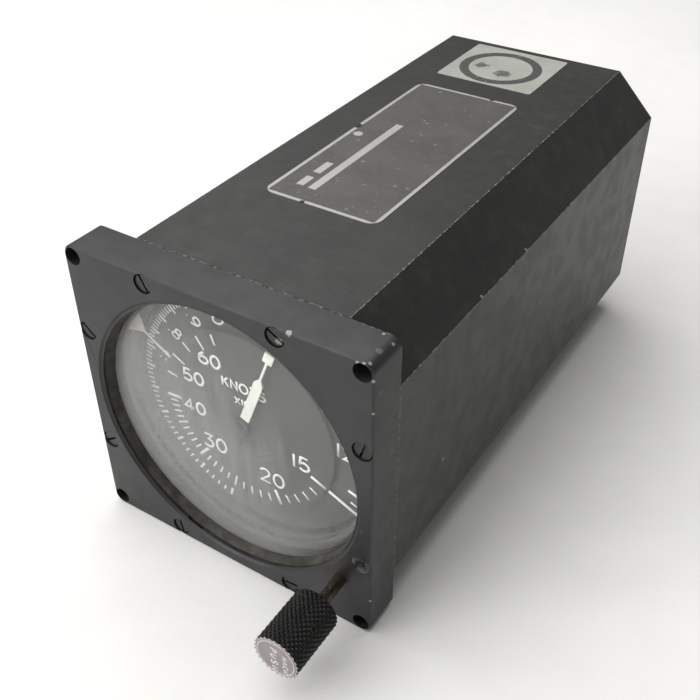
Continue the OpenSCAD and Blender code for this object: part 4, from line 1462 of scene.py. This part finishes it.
def finishes() -> dict[str, Finish]:
    """Lists every finish of carried-over nodes and new pieces.

    Returns:
        The finishes by name.
    """
    steel = {"first": (0.55, 0.54, 0.52), "second": (0.38, 0.37, 0.35), "cloud": 0.25}
    ring = {"first": (0.05, 0.05, 0.048), "second": (0.06, 0.06, 0.057), "rough": (0.5, 0.7)}
    white = {"first": (0.93, 0.92, 0.88), "second": (0.88, 0.87, 0.83), "rough": (0.5, 0.65),
             "cloud": 0.3}
    nick = (0.006, 0.006, 0.006)
    made = [
        Finish("screw_black", (0.005, 0.005, 0.005), (0.012, 0.0115, 0.011), rough=(0.3, 0.45),
               cloud=0.5, bump=0.15, spots=(((18.5, -10.1, 37.7), 0.9, (0.23, 0.20, 0.15)),
                                            ((38.2, -10.1, 17.0), 0.35, (0.16, 0.15, 0.12)),
                                            ((-17.2, -10.1, 38.1), 0.3, (0.14, 0.13, 0.11)))),
        Finish("bushing_black", (0.012, 0.012, 0.012), (0.022, 0.019, 0.015), cloud=0.5),
        Finish("dull_brass", (0.032, 0.027, 0.018), (0.07, 0.06, 0.04), metal=0.6,
               rough=(0.24, 0.34), cloud=0.4),
        Finish("dark_steel", (0.025, 0.022, 0.018), (0.10, 0.08, 0.05), metal=0.5,
               rough=(0.35, 0.5), cloud=1.2),
        Finish("staff_steel", **steel, metal=0.9, rough=(0.25, 0.4),
               spots=(((0.0, -1.7, 0.0), 2.2, (0.004, 0.004, 0.004)),)),
        Finish("lacquer", (0.009, 0.012, 0.014), (0.030, 0.034, 0.035), rough=(0.14, 0.3),
               cloud=0.9, coat=0.1, bump=0.6, grain=1.5),
        Finish("blued_spring", (0.012, 0.012, 0.013), (0.03, 0.03, 0.03), metal=0.3,
               rough=(0.25, 0.4)),
        Finish("brown_ring", (0.016, 0.0135, 0.011), (0.062, 0.053, 0.042), rough=(0.4, 0.65),
               cloud=0.4, dust=0.22),
        Finish("seal_rubber", (0.018, 0.018, 0.018), (0.035, 0.034, 0.033), rough=(0.6, 0.8)),
        Finish("dial_black", (0.034, 0.034, 0.031), (0.046, 0.046, 0.041), rough=(0.6, 0.8),
               cloud=0.06, dust=0.02),
        Finish("brass_part", (0.62, 0.45, 0.20), (0.44, 0.31, 0.14), metal=1.0,
               rough=(0.25, 0.45), cloud=0.3),
        Finish("steel_part", **steel, metal=1.0, rough=(0.22, 0.4)),
        Finish("light_alloy", (0.62, 0.62, 0.61), (0.50, 0.50, 0.49), metal=1.0,
               rough=(0.35, 0.5), cloud=0.15),
        Finish("capsule_metal", (0.66, 0.52, 0.33), (0.52, 0.40, 0.25), metal=1.0,
               rough=(0.25, 0.4), cloud=0.1),
        Finish("hair_blue", (0.05, 0.08, 0.22), (0.10, 0.12, 0.24), metal=1.0, rough=(0.25, 0.35)),
        Finish("bearing_red", (0.30, 0.02, 0.03), (0.42, 0.03, 0.05), rough=(0.05, 0.15), coat=1.0),
        BladePaint("pointer_white", (0.88, 0.86, 0.80), (0.82, 0.80, 0.73), rough=(0.45, 0.6),
                   cloud=0.2),
        # dial_face: the darker first colours lie on the dial's edge and side wall, painted shade
        # that hides the lit wall; the face inside the bore wears the arm colour
        RimPaint("dial_face", (0.018, 0.018, 0.017), (0.024, 0.024, 0.022), rough=(0.6, 0.8),
                 arm=(0.035, 0.035, 0.032), bore=25.15),
        # index_ring_a: its painted_glow is painted light on the arm line, lifting it out of the
        # recess's shade
        RimPaint("index_ring_a", **ring, arm=(0.84, 0.79, 0.72), painted_glow=0.14),
        RimPaint("index_ring_b", **ring, arm=(0.86, 0.84, 0.79)),
        PlateFoil("plate_foil", (0.062, 0.056, 0.055), (0.083, 0.075, 0.074), cloud=0.1, dust=0.06,
                  spots=(((-18.0, 77.0, 41.2), 1.5, (0.02, 0.02, 0.02)),
                         ((-6.5, 34.0, 41.2), 0.7, (0.03, 0.03, 0.03)),
                         ((5.5, 112.2, 41.2), 0.8, (0.025, 0.025, 0.025)))),
        LabelPaper("label_paper", (0.31, 0.322, 0.28), (0.38, 0.392, 0.35), rough=(0.5, 0.65),
                   cloud=0.1, dust=0.1),
        WindowGlass("window_glass", (0.97, 0.985, 0.98), (0.93, 0.96, 0.95), rough=(0.0, 0.002),
                    cloud=0.05, grain=1.0),
        # In flange_paint the first spot, a brown tint round the knob's shaft on the front face, is
        # a painted shadow of the knob and a painted reflection of the shaft; the other spots are
        # marks in the paint.
        WornPaint("flange_paint", (0.018, 0.0188, 0.0198), (0.025, 0.0258, 0.027),
                  rough=(0.36, 0.5), gloss=0.41, cloud=0.05, bump=0.10, dust=0.03, width=0.5,
                  amount=0.58, spots=(((31.0, -10.5, -23.5), 4.2, (0.022, 0.017, 0.011)),
                                      ((41.27, -7.9, 32.9), 0.9, (0.050, 0.047, 0.040)),
                                      ((41.27, -3.1, 28.9), 0.7, (0.042, 0.040, 0.035)),
                                      ((41.27, -2.8, 13.0), 1.1, (0.050, 0.047, 0.040)),
                                      ((39.5, -5.6, 41.27), 0.8, (0.090, 0.088, 0.080)),
                                      ((38.6, -10.5, -6.35), 0.5, (0.050, 0.052, 0.055))),
                  chips=(((21.3, -10.3, 41.0), 0.7), ((37.4, -10.5, 40.6), 0.45),
                         ((38.9, -10.5, 41.0), 0.4), ((39.9, -9.7, 41.0), 0.45),
                         ((41.0, -10.3, 37.4), 0.4), ((40.6, -1.8, 40.9), 0.6),
                         ((37.4, -0.7, 41.1), 0.4), ((41.1, -10.3, 29.2), 0.35),
                         ((41.1, -10.3, -29.0), 0.35))),
        WornPaint("case_paint", (0.021, 0.021, 0.020), (0.029, 0.0285, 0.0265), rough=(0.36, 0.5),
                  gloss=0.36, cloud=0.04, bump=0.13, dust=0.06, half=41.1, cut=12.3,
                  ends=(0.4, 153.8), width=0.45, amount=0.6,
                  chips=(((41.1, 23.0, -10.5), 0.5), ((40.6, 37.5, 29.0), 0.5),
                         ((40.6, 61.5, 29.0), 0.45)),
                  spots=(((41.1, 62.5, 6.0), 0.8, nick), ((41.1, 109.5, 3.0), 0.9, nick))),
        # print_white, print_deep and faded_orange carry painted_glow: painted light that brightens
        # them where the recess and the veil on the glass leave them in shade; the Mach print,
        # deepest in, has the most
        Finish("print_white", **white, painted_glow=0.07),
        Finish("print_deep", **white, painted_glow=0.2),
        Finish("faded_orange", (0.80, 0.68, 0.58), (0.74, 0.58, 0.48), rough=(0.5, 0.65),
               cloud=0.3, painted_glow=0.16),
        KnurlPaint("knob_black", (0.004, 0.0035, 0.0035), (0.008, 0.0075, 0.007),
                   rough=(0.3, 0.45), cloud=0.4, gloss=0.28),
        Finish("cap_purple", (0.25, 0.215, 0.225), (0.32, 0.28, 0.29), metal=0.2, rough=(0.4, 0.6),
               cloud=0.5, bump=0.12),
        Finish("cap_letters", (0.80, 0.77, 0.76), (0.70, 0.67, 0.66), rough=(0.5, 0.65), cloud=0.6),
        HazeAndPaintedReflection("haze_and_painted_reflection_film", (0.70, 0.71, 0.68), (0.76, 0.76, 0.73), rough=(0.5, 0.7), grain=2.0),
        Finish("table_white", (0.83, 0.82, 0.79), (0.88, 0.87, 0.845), rough=(0.75, 0.9),
               cloud=0.01, grain=0.35, bump=0.35),
    ]
    return {f.name: f for f in made}


WEARERS: dict[str, str] = {
    "screw_black": "bezel_screws",
    "bushing_black": "knob_bushing",
    "dull_brass": "knob_shaft",
    "dark_steel": "knob_set_screw",
    "staff_steel": "pointer_staff",
    "lacquer": "screw_seal",
    "blued_spring": "snap_ring",
    "brown_ring": "clamp_ring",
    "seal_rubber": "window_gasket case_gasket shaft_seal port_washers",
    "dial_black": "scale_mask mach_disc",
    "dial_face": "airspeed_dial",
    "brass_part": "index_pinion pointer_pinion mach_gear airspeed_sector aneroid_sector "
                  "pitot_block pitot_tube mach_sleeve dial_tube",
    "steel_part": "push_collar hairspring_stud frame_screws airspeed_rocking_shaft "
                  "aneroid_rocking_shaft airspeed_lever aneroid_lever aneroid_stud "
                  "index_guide_studs port_nuts",
    "light_alloy": "standoffs front_plate middle_plate rear_plate front_pillars rear_pillars "
                   "capsule_bars pitot_fitting static_fitting",
    "capsule_metal": "airspeed_capsule aneroid_capsule",
    "hair_blue": "hairspring",
    "bearing_red": "pivot_bearings",
    "pointer_white": "pointer",
    "index_ring_a": "mach_index_ring",
    "index_ring_b": "airspeed_index_ring",
    "plate_foil": "data_plate",
    "label_paper": "square_label",
    "window_glass": "cover_glass",
}


def main() -> None:
    """Builds and dresses the part, then the table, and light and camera."""
    logging.basicConfig(level=logging.INFO, format="%(message)s")
    bpy.context.scene.view_settings.view_transform = "Standard"
    looks = finishes()
    Wardrobe(looks, WEARERS).dress()
    elastic = Elastic(looks["steel_part"])
    elastic.stretch("knob_spring", Body.PUSH, 1, False)
    elastic.stretch("airspeed_post", Body.SPEED_POST, 2, True)
    elastic.stretch("aneroid_post", Body.ANEROID_POST, 2, False)
    housing = Housing()
    housing.soften("bezel_flange", "bezel_flange_softened", looks["flange_paint"])
    housing.soften("case_shell", "case_shell_softened", looks["case_paint"])
    dial = DialPrint(looks["print_white"], looks["print_deep"])
    dial.build_speed()
    dial.build_mach()
    marks = IndexPaint(looks["faded_orange"], looks["print_white"])
    marks.build_mach()
    marks.build_speed()
    knob = Knob(looks["knob_black"], looks["cap_purple"], looks["cap_letters"])
    knob.build_grip()
    knob.build_cap()
    knob.build_letters()
    Window(looks["haze_and_painted_reflection_film"]).build_haze_and_painted_reflection()
    studio = Studio(looks["table_white"])
    studio.build_floor()
    studio.build_light()
    studio.build_camera()


if __name__ == "__main__":
    main()
